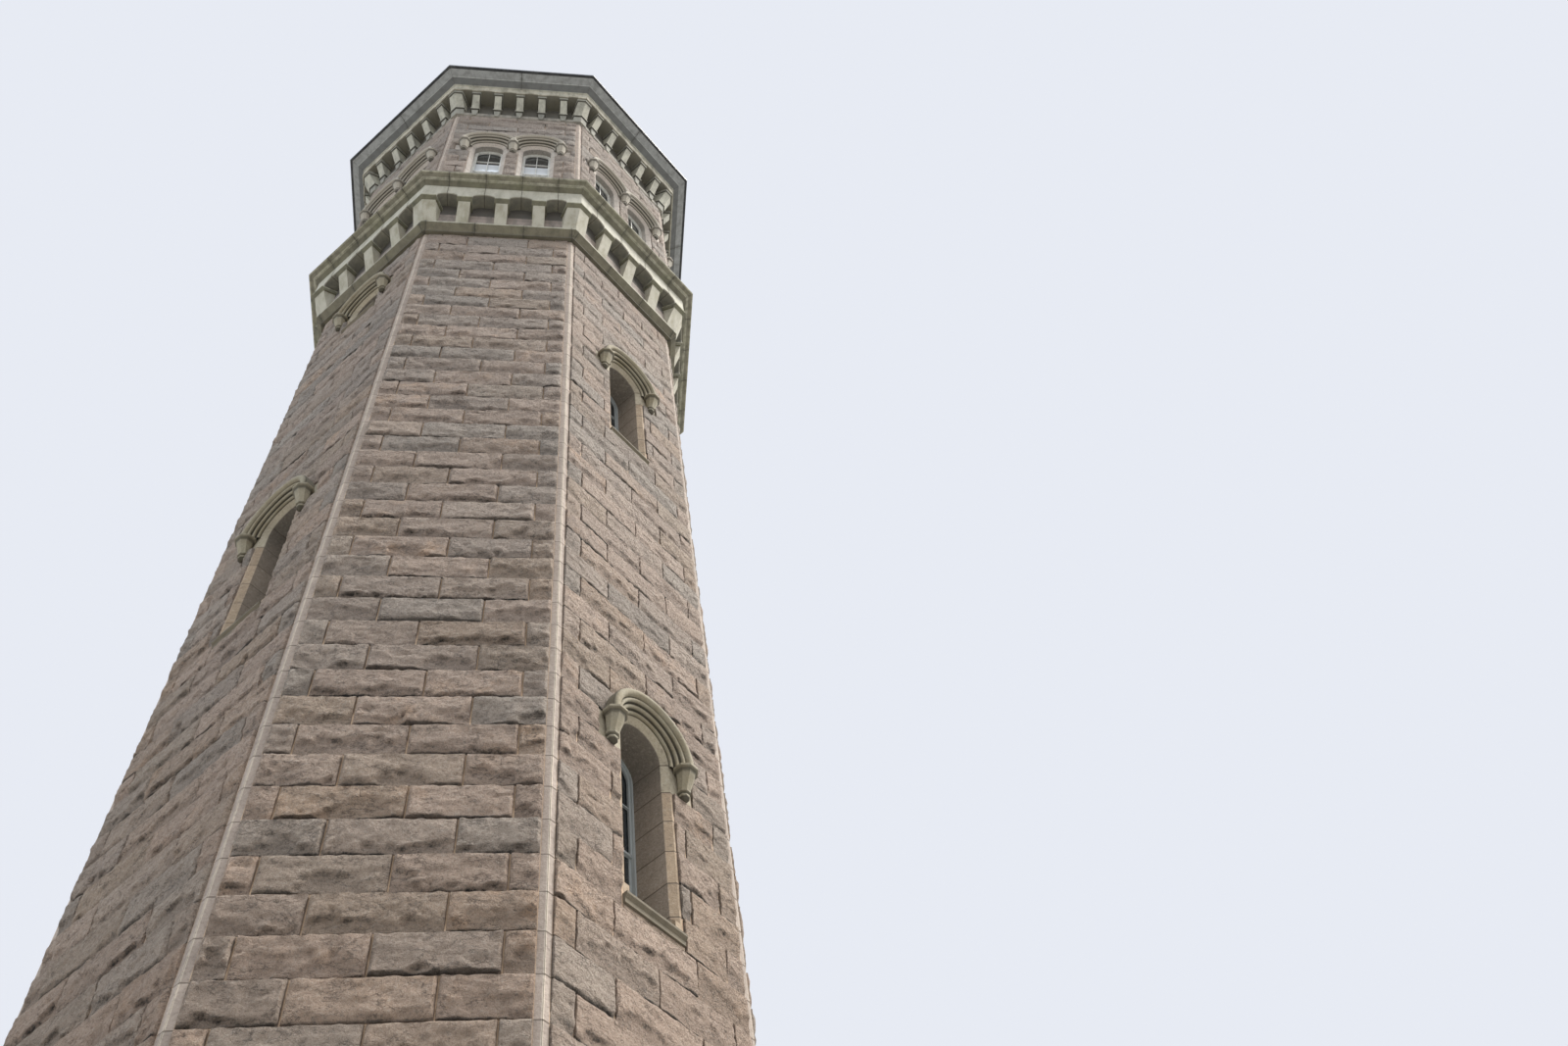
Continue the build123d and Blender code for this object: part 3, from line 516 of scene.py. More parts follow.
def divide(start, end, rng):
    """Ends of the stones that fill a stretch, of about the usual length, uneven by up to a tenth."""
    count = max(1, round((end - start) / STONE_LENGTH))
    cuts = np.linspace(start, end, count + 1)
    cuts[1:-1] += (rng.random(count - 1) - 0.5) * 0.2 * STONE_LENGTH
    return list(zip(cuts[:-1], cuts[1:]))


def closed_zones(windows, window_half):
    """What the rough stones leave free: (left, right, bottom, top) of each sill, jambs and springers."""
    zones = []
    for middle, sill, straight in windows:
        jamb = window_half + CHAMFER + JAMB_MARGIN
        bottom, top = springer_course(sill + straight)
        zones.append((middle - SILL_HALF, middle + SILL_HALF, sill - SILL_HEIGHT, sill))
        zones.append((middle - jamb, middle + jamb, sill, bottom))
        zones.append((middle - SPRINGER_HALF, middle + SPRINGER_HALF, bottom, top))
    return zones


def stones(half_side, low, high, parity, zones, rng):
    """Rows of (left, right, bottom, top) for every stone of one side, between two heights.

    Zones are what the stones leave free. Where a zone starts or ends inside a course, a low stone fills the
    rest of the course under or over it.
    """
    rows = []
    edge = half_side - ARRIS_MARGIN
    for number in range(int(np.floor(low / COURSE)), int(np.ceil(high / COURSE - 0.01))):
        bottom, top = max(low, number * COURSE), min(high, (number + 1) * COURSE)
        corner = (LONG_CORNER if (number + parity) % 2 else SHORT_CORNER) - ARRIS_MARGIN
        met = sorted(zone for zone in zones if zone[2] < top - SLIVER and zone[3] > bottom + SLIVER)
        reached, stretches, lowest = -edge, [], min((zone[2] for zone in met), default=0)
        for left, right, zone_bottom, zone_top in met:
            if left > reached + SLIVER:
                stretches.append((reached, left))
            reached = max(right, reached)
            if zone_bottom - bottom > SLIVER and zone_bottom == lowest:
                rows.append((left, right, bottom, zone_bottom))
            if top - zone_top > SLIVER and len(met) < 2:
                rows.append((left, right, zone_top, top))
        if edge > reached + SLIVER:
            stretches.append((reached, edge))
        for start, end in stretches:
            first = start + corner if start == -edge and end - start > corner + SLIVER else start
            last = end - corner if end == edge and end - first > corner + SLIVER else end
            pieces = [(start, first)] if first > start else []
            pieces += divide(first, last, rng) if last - first > SLIVER else []
            pieces += [(last, end)] if last < end else []
            rows += [(a, b, bottom, top) for a, b in pieces]
    return np.array(rows)


plain_side = stones(SHAFT_REACH * CORNER_SLOPE, 270 * MM, 3614 * MM, 0, [], np.random.default_rng(1))
print(len(plain_side), "stones on a side without windows")

# %% [markdown]
# ## The face of a broken stone
# A mason splits such a block with a few blows near its lower edge, and granite breaks in shells, as glass
# does. Each blow leaves a hollow like part of a bowl, with a sharp rim above it. From the ground we look up
# at those rims and see them as dark, ragged lines. So a stone's face here is a slightly tilted plane, with
# half-bowls scooped out along its foot and a few small ones elsewhere. To make their rims ragged, we measure
# the distance to a bowl in coordinates that a noise has pushed about first.

# %% A stone's grid and its hollows
RIM_CELL = 0.9 * MM


def even_with_rims(start, end, order):
    """Places from start to end in the given order: even ones between two that lie RIM_CELL from the ends."""
    last = order.max()
    inner = start + RIM_CELL + np.clip((order - 1) / (last - 2), 0, 1) * (end - start - 2 * RIM_CELL)
    return np.where(order == 0, start, np.where(order == last, end, inner))


def bowl_depth(x, z, middle_x, middle_z, half_width, half_height, depth):
    """Depth of a bowl: its greatest depth times the root of 1 - u^2 - v^2, for u and v from its middle."""
    inside = 1 - ((x - middle_x) / half_width) ** 2 - ((z - middle_z) / half_height) ** 2
    return depth * np.sqrt(np.clip(inside, 0, 1))


print("the outermost cells of a stone are", RIM_CELL / MM, "mm wide")

# %% [markdown]
# One could shape the stones one by one in a loop. All those that need the same number of columns are worked
# out together instead, in arrays whose first index is the stone, because that is many times faster. The same
# function gives the numbers that the material reads, such as how much a stone's face turns down, which it
# paints as shade with some dirt.

# %% The faces of many stones at once
SCOOPS, CHIPS = 5, 3
STONE_NUMBERS = ("tone", "warm", "under", "cut")


def rock_face(rows, columns, levels, seed, boldness, rim_shade_and_dirt):
    """Along, height and relief at the grid points of each stone, with the numbers its material reads.

    The relief is a tilted plane less the deepest bowl at each point, plus clouds and crests of noise, all of
    it times boldness. At the foot it is at most 1.2 mm plus 7 mm for each bevel's height, which noise makes
    ragged. Near the joints it is at most 1.4 mm plus 2.8 times the distance to the joint, so the stone turns
    in there. The number under is the slope, evened out over five columns, and rim_shade_and_dirt at the
    joints. The material paints shade, with some grime, by it.
    """
    left, right, bottom, top = (rows[:, k, None, None] for k in range(4))
    rng = np.random.default_rng(seed)
    own = rng.random((7, len(rows), 1, 1))
    x = even_with_rims(left + JOINT / 2, right - JOINT / 2, np.arange(columns)[None, None, :])
    z = even_with_rims(bottom + JOINT / 2, top - JOINT / 2, np.arange(levels)[None, :, None])
    x, z = x + 0 * z, z + 0 * x
    size = np.clip((top - bottom) / COURSE, 0.3, 1)
    shift = 50 * own[0]
    ragged_x = x + 14 * MM * cloud(x / (13 * MM) + shift, z / (12 * MM), seed + 1, 3)
    ragged_z = z + 15 * MM * cloud(x / (12 * MM), z / (14 * MM) + shift, seed + 2, 3)
    lean_x, lean_z = (own[1] - 0.5) * 2.6 * MM, (own[2] - 0.35) * 2.4 * MM
    middle_x, middle_z = (left + right) / 2, (bottom + top) / 2
    relief = (5.0 + 2.0 * own[3]) * MM + lean_x * (x - middle_x) / (right - left) * 2
    relief = relief + lean_z * (z - middle_z) / COURSE * 2
    cut = np.zeros_like(x)
    for number, (place, wide, tall, deep) in enumerate(rng.random((SCOOPS, 4, len(rows), 1, 1))):
        half_width = (12 + 34 * wide) * MM if number else (0.4 + 0.6 * wide) * (right - left)
        depth = (2.6 + 3.8 * deep) * MM * (tall > 0.30)
        half_height = (7 + 56 * (tall - 0.30).clip(0) ** 1.6) * MM * size
        scoop = bowl_depth(
            ragged_x, ragged_z, left + place * (right - left), bottom, half_width, half_height, depth
        )
        cut = np.maximum(cut, scoop)
    for place, level, wide, deep in rng.random((CHIPS, 4, len(rows), 1, 1)):
        chip = bowl_depth(
            ragged_x, ragged_z, left + place * (right - left), bottom + level * (top - bottom),
            (11 + 26 * wide) * MM, (3 + 5 * wide) * MM, 2.0 * MM * deep,
        )
        cut = np.maximum(cut, chip)
    crest = 1 - np.abs(cloud(x / (30 * MM) + shift + z / (60 * MM), z / (13 * MM) + shift, seed + 5, 2))
    lumps = 2.0 * MM * cloud(x / (15 * MM) + shift, z / (11 * MM) + shift, seed + 6, 4)
    relief = (relief - cut * size + lumps + (crest - 0.8) * 1.8 * MM) * boldness
    edge = np.minimum(np.minimum(x - left, right - x), np.minimum(z - bottom, top - z)) - JOINT / 2
    ragged = 1 + 0.75 * cloud(x / (18 * MM) + shift, z / (12 * MM), seed + 9, 4)
    bevel = (2.5 + 19 * own[6] ** 1.4) * MM * ragged
    limit = 1.4 * MM + edge * (2.8 + 1.8 * cloud(x / (8 * MM), z / (8 * MM), seed + 8, 1))
    limit = np.minimum(limit, 1.2 * MM + (z - bottom) * 7 * MM / (bevel * size))
    relief = np.clip(relief * np.clip(2 * (top - bottom) / COURSE, 0.25, 1), 0.5 * MM, limit)
    rim = edge < 0.1 * MM
    relief = np.where(rim, -0.4 * MM, relief)
    # The number under: the slope of the face, and rim_shade_and_dirt at the rims; the material paints shade
    # and some dirt by it.
    slope = np.gradient(relief, axis=1) / np.maximum(np.gradient(z, axis=1), 0.2 * MM)
    slope = sum(np.roll(slope, step, axis=2) for step in (-2, -1, 0, 1, 2)) / 5
    under = np.clip(np.where(rim, rim_shade_and_dirt, slope / boldness), 0, 1.2)
    numbers = (own[4] + 0 * z, own[5] + 0 * z, under, cut / (5 * MM))
    return x, z, relief, dict(zip(STONE_NUMBERS, numbers))


print("a stone has", SCOOPS, "hollows along its foot and", CHIPS, "chips")

# %% [markdown]
# A long stone needs more columns than a short one, so a side's stones are sorted by that number first. The
# cells that lie inside a window's arch are left out, and the hood will cover the edge that this leaves.

# %% The stones of one side
def stone_side(angle, reach, rows, arches, cell, seed, boldness=1, rim_shade_and_dirt=0.4):
    """All stones of one side, grouped by how many columns their width needs. arches are left open.

    cell is the grid's width, boldness the strength of the relief and rim_shade_and_dirt how dark the joints'
    rims are painted, as shade and grime.
    """
    groups, numbers = [], {key: [] for key in STONE_NUMBERS}
    needed = np.maximum(2, np.round((rows[:, 1] - rows[:, 0]) / cell)).astype(int) + 3
    levels = int(round(COURSE / cell)) + 3
    for columns in np.unique(needed):
        some = rows[needed == columns]
        x, z, relief, values = rock_face(some, columns, levels, seed + int(columns), boldness, rim_shade_and_dirt)
        middle_x, middle_z = ((v[:, 1:, 1:] + v[:, :-1, :-1]) / 2 for v in (x, z))
        keep = np.ones(middle_x.shape, bool)
        for middle, spring, radius in arches:
            above = np.maximum(middle_z - spring, 0)
            keep &= (np.hypot(middle_x - middle, above) > radius) | (middle_z < springer_course(spring)[0])
        groups.append((on_side(angle, reach + relief, x, z), grid_faces(*x.shape, keep)))
        for key in numbers:
            numbers[key].append(values[key])
    return groups, numbers


def gathered(parts):
    """The groups and the stored numbers of several sides or bands, end to end."""
    groups = [group for some, _ in parts for group in some]
    return groups, {key: [value for _, numbers in parts for value in numbers[key]] for key in STONE_NUMBERS}


print("each point of a stone stores", ", ".join(STONE_NUMBERS))

# %% [markdown]
# ## Granite
# The stone is a pinkish grey granite. No two blocks match: some are mauve, some brown, some nearly grey, and
# a few carry an orange stain. Each stone has its own random `tone` and `warm`, stored in the mesh, which the
# material reads. Over that lie clouds the size of a hand for mottling, fine grain for the crystals, painted
# shade with some dirt where the stone turns down or has a hollow, and a thin painted shadow under ledges of
# the bump. The stone is a little warmer near the foot and greyer far up. The grain's relief is bump, because
# it is finer than the mesh, and the same grain makes the surface shine unevenly.

# %% Material of the rock-faced stones
GREY_STONE, MAUVE_STONE = (0.375, 0.312, 0.265), (0.450, 0.335, 0.268)
BROWN_STONE, ORANGE_STAIN = (0.400, 0.288, 0.205), (0.500, 0.305, 0.180)
PALE_FLECK, DARK_FLECK = (0.600, 0.550, 0.490), (0.100, 0.085, 0.075)
HIGH_STONE, FOOT_STONE = (0.370, 0.352, 0.340), (0.420, 0.262, 0.160)


def granite_color(f, tone, warm):
    """The granite's colour: two mixes by the stone's own numbers, then stain, mottling and flecks."""
    color = f.mix(GREY_STONE, MAUVE_STONE, warm.between(0.10, 0.70))
    color = f.mix(color, BROWN_STONE, ((tone * 7.31) % 1.0).between(0.60, 1.0) * 0.7)
    patch = f.noise(24, 4, 0.6)
    stain = patch.between(0.52, 0.72) * warm.between(0.70, 0.95) * 0.55
    color = f.mix(color, ORANGE_STAIN, stain)
    mottle = f.noise(190, 5, 0.75)
    color = f.mix(color, PALE_FLECK, mottle.between(0.52, 0.78) * 0.65)
    color = f.mix(color, DARK_FLECK, mottle.between(0.49, 0.26) * 0.85)
    grain = f.noise(950, 2, 0.5)
    color = f.mix(color, PALE_FLECK, grain.between(0.56, 0.70) * 0.40)
    color = f.mix(color, DARK_FLECK, grain.between(0.45, 0.32) * 0.50)
    return f.shade(color, 0.87 + tone * 0.20 + (patch - 0.5) * 0.30), mottle, grain


granite = Finish("rock_faced_granite")
stone_color, mottle, grain = granite_color(granite, granite.attribute("tone"), granite.attribute("warm"))
stone_color = granite.mix(stone_color, HIGH_STONE, granite.axis(2).between(1.5, 5.0) * 0.40)
stone_color = granite.mix(stone_color, FOOT_STONE, granite.axis(2).between(1.7, 0.9) * 0.22)
# Painted shade, with some dirt: the stone is darker where its face turns down, at its rims and in its
# hollows.
under = granite.attribute("under") + (mottle - 0.5) * 1.6
shade_and_dirt = under.between(0.27, 0.74) * 0.78 + granite.attribute("cut").between(0.35, 0.85) * 0.24
ledges = granite.noise(30, 6, 0.66, stretch=(1, 1, 1.7))
broken = granite.noise(26, 2).between(0.42, 0.56)
# Painted shadow: a thin dark line under the ledges that the bump draws.
ledge_shadow = granite.line(abs(ledges - 0.487), 0.003, 0.014) * broken
shade_and_dirt_strength = 0.7 + granite.noise(45, 3) * 0.6
stone_color = granite.shade(stone_color, (1.07 - shade_and_dirt * shade_and_dirt_strength) * (1 - ledge_shadow * 0.5))
stone_relief = mottle + granite.noise(75, 4, 0.7) * 0.8 + grain * 0.25 + ledges.between(0.485, 0.51) * 0.22
granite_material = granite.done(stone_color, 1.0 - grain * 0.14, stone_relief, 8.0 * MM)
print(len(granite.tree.nodes), "nodes in the granite")

# %% [markdown]
# ## The walls between and beside the stones
# The bare wall shows in three places: in the joints, where it is brown mortar, on the smooth margins along
# the corners and round the windows, and in the windows' reveals. One material tells them apart by place. It
# folds the eight sides onto one, so that a point is known by its distance out and its distance along.

# %% Material of the walls
MORTAR, BED_SHADE, SHADED_STONE = (0.540, 0.385, 0.265), (0.130, 0.098, 0.072), (0.120, 0.112, 0.095)
UNDER_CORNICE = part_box("upper_string")[1].z
PALE_MARGIN, SPRINGER_STONE = (0.375, 0.308, 0.265), (0.400, 0.350, 0.265)
JAMB_STONE, REVEAL_STONE = (0.360, 0.272, 0.190), (0.300, 0.247, 0.200)
UPPER_JAMB, UPPER_REVEAL = (0.520, 0.465, 0.420), (0.590, 0.550, 0.510)
ARRIS_HIGHLIGHT = (0.620, 0.540, 0.450)


def window_masks(f, along, height, windows, window_half):
    """Three masks over all windows of a side: the jambs, the springers with the arches, and the vaults.

    A jamb is a strip beside the straight part. An arch is what lies within a radius of its centre, above it.
    A vault is the underside of the arch, between two heights, where shade is painted.
    """
    jambs = springers = vaults = 0
    for middle, sill, straight in windows:
        spring = sill + straight
        bottom, top = springer_course(spring)
        across, above = abs(along - abs(middle)), height - spring
        jamb = f.line(across, window_half + CHAMFER + JAMB_MARGIN)
        jamb = jamb * f.line(abs(height - (sill + straight / 2)), straight / 2)
        springer = f.line(across, SPRINGER_HALF) * height.between(bottom, bottom + 1 * MM)
        springer = springer * f.line(height, max(top, spring))
        arch = f.line((across ** 2 + above ** 2) ** 0.5, window_half + CHAMFER + HOOD_BAND) * (above > 0)
        vault = f.line(across, window_half + 1 * MM) * above.between(-70 * MM, 20 * MM)
        vault = vault * f.line(above, 90 * MM)
        jambs, vaults = jamb.at_least(jambs), vault.at_least(vaults)
        springers = springer.at_least(arch).at_least(springers)
    return jambs, springers, vaults


def wall_finish(name, reach, windows, window_half, jamb_stone, springer_stone, reveal_stone, bed_dark=0.0):
    """Mortar, with pale margins at the corners and round the windows, and darker reveals with painted shade
    on top. A painted highlight runs along each arris, and painted shade lies on the wall above the upper
    string.

    bed_dark is how dark the bed joints between the rough stones are.
    """
    f = Finish(name)
    out, along = f.side()
    height = f.axis(2)
    clouds, grain, mottle = f.noise(30, 4), f.noise(800, 3), f.noise(190, 5, 0.75)
    course = f.math("FLOOR", height / COURSE)
    course_tone = f.node("ShaderNodeTexWhiteNoise", {"noise_dimensions": "1D"}, {"W": course})
    arris = reach * CORNER_SLOPE
    margin = along.between(arris - ARRIS_MARGIN - 0.5 * MM, arris - ARRIS_MARGIN)
    jambs, springers, vaults = window_masks(f, along, height, windows, window_half)
    reveal = out.between(reach - 8 * MM, reach - 10 * MM)
    to_bed = f.math("PINGPONG", height, COURSE / 2)
    bed = f.line(to_bed, 0.5 * MM)
    color = f.mix(MORTAR, PALE_MARGIN, margin)
    # Painted highlight: a thin pale line along each arris.
    color = f.mix(color, ARRIS_HIGHLIGHT, along.between(arris - 2.0 * MM, arris - 0.9 * MM) * 0.85)
    color = f.mix(color, jamb_stone, jambs)
    color = f.mix(color, springer_stone, springers)
    color = f.mix(color, reveal_stone, reveal)
    # Painted shade on the top of each reveal, under the arch.
    color = f.mix(color, SHADED_STONE, vaults * reveal * 0.60)
    color = f.mix(color, PALE_FLECK, mottle.between(0.54, 0.80) * 0.5)
    color = f.mix(color, DARK_FLECK, mottle.between(0.48, 0.24) * 0.7)
    # Painted shade on the wall above the upper string, between the corbels under the cornice.
    color = f.mix(color, SHADED_STONE, height.between(UNDER_CORNICE, UNDER_CORNICE + 1 * MM))
    color = f.mix(color, BED_SHADE, bed * margin.at_least(jambs).at_least(reveal) * 0.75)
    color = f.mix(color, BED_SHADE, f.line(to_bed, 1.0 * MM) * bed_dark)
    color = f.shade(color, 0.55 + course_tone * 0.20 + clouds * 0.38 + grain * 0.34)
    return f.done(color, 1.0 - grain * 0.20, f.noise(300, 4) - bed * 1.5, 1.0 * MM)


print("mortar shows in joints of", JOINT / MM, "mm")

# %% [markdown]
# The walls differ in their windows, so there is one material for the sides with each set of windows, one for
# the plain sides and one for the belvedere, whose dressed stone is paler.

# %% The walls get their materials
window_stone = (WINDOW_HALF, JAMB_STONE, SPRINGER_STONE, REVEAL_STONE)
left_wall = wall_finish("wall_with_left_windows", SHAFT_REACH, LEFT_WINDOWS, *window_stone)
right_wall = wall_finish("wall_with_right_windows", SHAFT_REACH, RIGHT_WINDOWS, *window_stone, bed_dark=0.7)
plain_wall = wall_finish("wall_without_windows", SHAFT_REACH, [], *window_stone)
upper_stone = (BELVEDERE_HALF, UPPER_JAMB, UPPER_JAMB, UPPER_REVEAL)
upper_wall = wall_finish("belvedere_wall", BELVEDERE_REACH, BELVEDERE_WINDOWS[1:], *upper_stone)
paint(left_wall, "shaft_wall_front_left", "shaft_wall_back_right")
paint(right_wall, "shaft_wall_front_right", "shaft_wall_back_left")
paint(plain_wall, "shaft_wall_front", "shaft_wall_back", "shaft_wall_left", "shaft_wall_right")
paint(upper_wall, "belvedere_walls")
print("four wall materials")

# %% [markdown]
# ## The stones go on
# The three sides that face the camera get the finest grid where the camera is close, a coarser one higher up,
# and a coarse one at the very foot, which the picture doesn't show. The other sides never fill a picture, so
# their grid is coarse throughout. On the side to the front's right the real stones are cut a little flatter
# and their joints look darker, so it has values of its own.

# %% Stones of the shaft and the belvedere
SHAFT_FOOT, SHAFT_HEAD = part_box("plinth")[1].z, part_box("string_course")[0].z
BELVEDERE_FOOT, BELVEDERE_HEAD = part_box("belvedere_walls")[0].z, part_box("upper_string")[0].z
NEAR_SIDES = ("front", "front_left", "front_right")
NEAR_BANDS, FAR_BANDS = [(0.78, 8 * MM), (2.10, 3.45 * MM), (4.00, 4.7 * MM)], [(4.00, 8 * MM)]
BELVEDERE_CELL, FAR_CELL = 6 * MM, 8 * MM
USUAL_FACE, FLATTER = (1, 0.4), {"front_right": (0.80, 0.85)}
STONE_ANGLE = 34


def arches_of(windows, window_half):
    """Middle, arch centre and half width of what a hood covers, for each window."""
    covered = window_half + CHAMFER + 0.6 * HOOD_BAND
    return [(middle, sill + straight, covered) for middle, sill, straight in windows]


for index, (name, angle) in enumerate(SIDE_ANGLES.items()):
    windows = SHAFT_WINDOWS.get(name, [])
    arches, zones = arches_of(windows, WINDOW_HALF), closed_zones(windows, WINDOW_HALF)
    rng = np.random.default_rng(40 + index)
    rows = stones(SHAFT_REACH * CORNER_SLOPE, SHAFT_FOOT, SHAFT_HEAD, index, zones, rng)
    bands, low = [], 0
    for high, cell in NEAR_BANDS if name in NEAR_SIDES else FAR_BANDS:
        band = rows[(rows[:, 2] >= low) & (rows[:, 2] < high)]
        seed = 1000 * (index + 1) + int(high * 50)
        face = FLATTER.get(name, USUAL_FACE)
        bands.append(stone_side(angle, SHAFT_REACH, band, arches, cell, seed, *face))
        low = high
    groups, numbers = gathered(bands)
    build("stones_" + name, groups, granite_material, STONE_ANGLE, numbers)

upper_sides = []
arches = arches_of(BELVEDERE_WINDOWS, BELVEDERE_HALF)
zones = closed_zones(BELVEDERE_WINDOWS, BELVEDERE_HALF)
for index, (name, angle) in enumerate(SIDE_ANGLES.items()):
    rng = np.random.default_rng(80 + index)
    rows = stones(BELVEDERE_REACH * CORNER_SLOPE, BELVEDERE_FOOT, BELVEDERE_HEAD, index, zones, rng)
    cell = BELVEDERE_CELL if name in NEAR_SIDES else FAR_CELL
    upper_sides.append(stone_side(angle, BELVEDERE_REACH, rows, arches, cell, 20000 + 300 * index))
groups, numbers = gathered(upper_sides)
build("stones_belvedere", groups, granite_material, STONE_ANGLE, numbers)

# %% [markdown]
# ## Carved hoods and their stops
# Over every window runs a hood of rolls and hollows that throws the rain aside. A curve with a bevel profile
# would make one. We turn one list of points in section about the arch's centre instead, so that we know each
# point's place in the section: the rolls are arcs, each further from the opening and further out than the
# last, and the outermost is the fattest. The grooves between the rolls are painted darker, as shade, so the
# mesh stores how deep in a groove each point lies.

# %% Section of a hood
ROLLS = 3
HOOD_LEG, IN_THE_WALL = 7 * MM, -0.5 * MM


def hood_section(inner, projection, steps):
    """Radius and projection along the hood's section: a small arc for each roll and a larger one outside."""
    sweep = np.linspace(-0.15 * pi, 0.95 * pi, steps)
    small, outer = HOOD_BAND / (2 * ROLLS + 4), inner + HOOD_BAND
    fat = 2 * small
    places = inner + small + 2 * small * np.arange(ROLLS)
    levels = small * 0.6 + (projection * 0.66 - small) * np.arange(ROLLS) / (ROLLS - 1)
    rolls = [*zip(places, levels, [small] * ROLLS), (outer - fat, projection - fat, fat)]
    arcs = [np.stack([x - r * np.cos(sweep), level + r * np.sin(sweep)], axis=-1) for x, level, r in rolls]
    return np.concatenate([[(inner, IN_THE_WALL)], *arcs, [(outer, projection - fat), (outer, IN_THE_WALL)]])


def hood(inner, projection, steps, turns):
    """The section carried up a short leg, turned through half a circle and carried down again."""
    radius, out = hood_section(inner, projection, steps).T
    turn = np.concatenate([[0], np.linspace(0, pi, turns - 2), [pi]])[:, None]
    along, height = np.cos(turn) * radius, np.sin(turn) * radius
    height[[0, -1]] -= HOOD_LEG
    return (along, height, out + 0 * along), grid_faces(1, turns, len(radius))


def hood_creases(steps, turns, count, power):
    """1 at both ends of every roll's arc, falling to 0 at its middle by a power, for each of count hoods."""
    roll = np.abs(np.linspace(-1, 1, steps)) ** power
    section = np.concatenate([[1], np.tile(roll, ROLLS + 1), [0.6, 0.6]])
    return np.tile(section, turns * count)


print("a hood has", ROLLS + 1, "rolls over a band of", round(HOOD_BAND / MM), "mm")

# %% [markdown]
# At both ends of a hood hangs a stop, a pendant with a cap, a long taper and a small ball. The Screw modifier
# could turn such a shape. We list its half width at each height and stack rings of eight points, because its
# eight flats have to look squarely out and sideways. It leans back a little towards its foot.

# %% Label stops
STOP_OUTLINE = np.array([
    (0.0, 0.0), (0.0, 18.0), (-4.4, 18.2), (-5.6, 17.0), (-8.0, 15.0), (-11.0, 13.8), (-14.0, 13.3),
    (-24.0, 11.3), (-34.0, 9.7), (-42.5, 8.7), (-43.5, 9.9), (-46.0, 9.9), (-47.2, 7.2), (-48.4, 6.4),
    (-50.0, 7.6), (-53.0, 8.0), (-56.0, 7.2), (-58.6, 4.6), (-60.0, 0.0),
]) * MM
STOP_AXIS_TOP, STOP_AXIS_FOOT = 12 * MM, 6 * MM


def label_stop():
    """Rings of eight points whose flats look squarely out and sideways."""
    height, half_width = STOP_OUTLINE.T[:, :, None]
    turn = np.radians(CORNER_ANGLE + 45 * np.arange(8))
    lean = np.clip((-height - 14 * MM) / (30 * MM), 0, 1)
    axis = STOP_AXIS_TOP + (STOP_AXIS_FOOT - STOP_AXIS_TOP) * lean
    radius = half_width / cos(pi / 8)
    shape = (np.sin(turn) * radius, height + 0 * turn, axis + np.cos(turn) * radius)
    return shape, grid_faces(1, len(STOP_OUTLINE), 8, wrap=True)


def stop_creases(count):
    """1 under the cap and round the ball's neck of each of count stops, where shade is painted."""
    height = -STOP_OUTLINE[:, 0] / MM
    dirty = np.exp(-(((height - 9) / 4) ** 2)) + np.exp(-(((height - 48) / 2) ** 2)) + (height > 55)
    return np.tile(np.repeat(np.clip(dirty, 0, 1), 8), count)


print("a stop has", len(STOP_OUTLINE), "rings of eight points")

# %% [markdown]
# The hoods are of a finer stone than the walls: brown with paler and greener clouds on the shaft, and pale on
# the belvedere. The material reads the grooves from the mesh and paints them darker, as shade.

# %% Stone of the hoods
HOOD_BROWN, HOOD_PALE = (0.275, 0.232, 0.155), (0.330, 0.295, 0.220)
HOOD_OLIVE, BELVEDERE_HOOD = (0.240, 0.215, 0.135), (0.460, 0.420, 0.360)
GROOVE_SHADE = 0.74

hood_stone = Finish("carved_hood_stone")
hood_clouds, hood_grain = hood_stone.noise(22, 4), hood_stone.noise(260, 4)
hood_color = hood_stone.mix(HOOD_BROWN, HOOD_PALE, hood_clouds.between(0.40, 0.62))
hood_color = hood_stone.mix(hood_color, HOOD_OLIVE, hood_stone.noise(9, 3).between(0.56, 0.80) * 0.5)
hood_color = hood_stone.mix(hood_color, BELVEDERE_HOOD, hood_stone.axis(2).between(*BELVEDERE_LEVEL) * 0.8)
# Painted shade in the grooves between the rolls, under the stops' caps and round their balls.
groove_shade = 1 - hood_stone.attribute("crease") * GROOVE_SHADE
hood_color = hood_stone.shade(hood_color, (0.65 + hood_grain * 0.50) * groove_shade)
hood_material = hood_stone.done(hood_color, 0.95 - hood_grain * 0.20, hood_grain, 0.8 * MM)
print("the deepest grooves keep", round(1 - GROOVE_SHADE, 2), "of their brightness")

# %% [markdown]
# Now the list of places: one hood over each window, and a stop under each of its ends. On the belvedere two
# windows share the stop between them, so a side has three.

# %% Hoods over every window
STOP_OFFSET = 75.5 * MM

shaft_places = [
    (SIDE_ANGLES[name], middle, sill + straight)
    for name, windows in SHAFT_WINDOWS.items() for middle, sill, straight in windows
]
belvedere_places = [
    (angle, middle, sill + straight)
    for angle in SIDE_ANGLES.values() for middle, sill, straight in BELVEDERE_WINDOWS
]
shaft_stops = [
    (angle, middle + sign * STOP_OFFSET, height - HOOD_LEG)
    for angle, middle, height in shaft_places for sign in (-1, 1)
]
belvedere_stops = [
    (angle, step * 2 * BELVEDERE_OFFSET, BELVEDERE_SILL + BELVEDERE_STRAIGHT - HOOD_LEG)
    for angle in SIDE_ANGLES.values() for step in (-1, 0, 1)
]


def hoods(name, window_half, reach, places, stops, projection, grid, power):
    """All hoods over windows of one width, with their stops, as one piece.

    grid is the number of points on a roll and round the arch, power how narrow the painted shade in the
    grooves is.
    """
    arch = hood(window_half + CHAMFER, projection, *grid)
    groups = [repeat(*arch, places, reach), repeat(*label_stop(), stops, reach)]
    creases = [hood_creases(*grid, len(places), power), stop_creases(len(stops))]
    return build(name, groups, hood_material, 38, {"crease": creases})


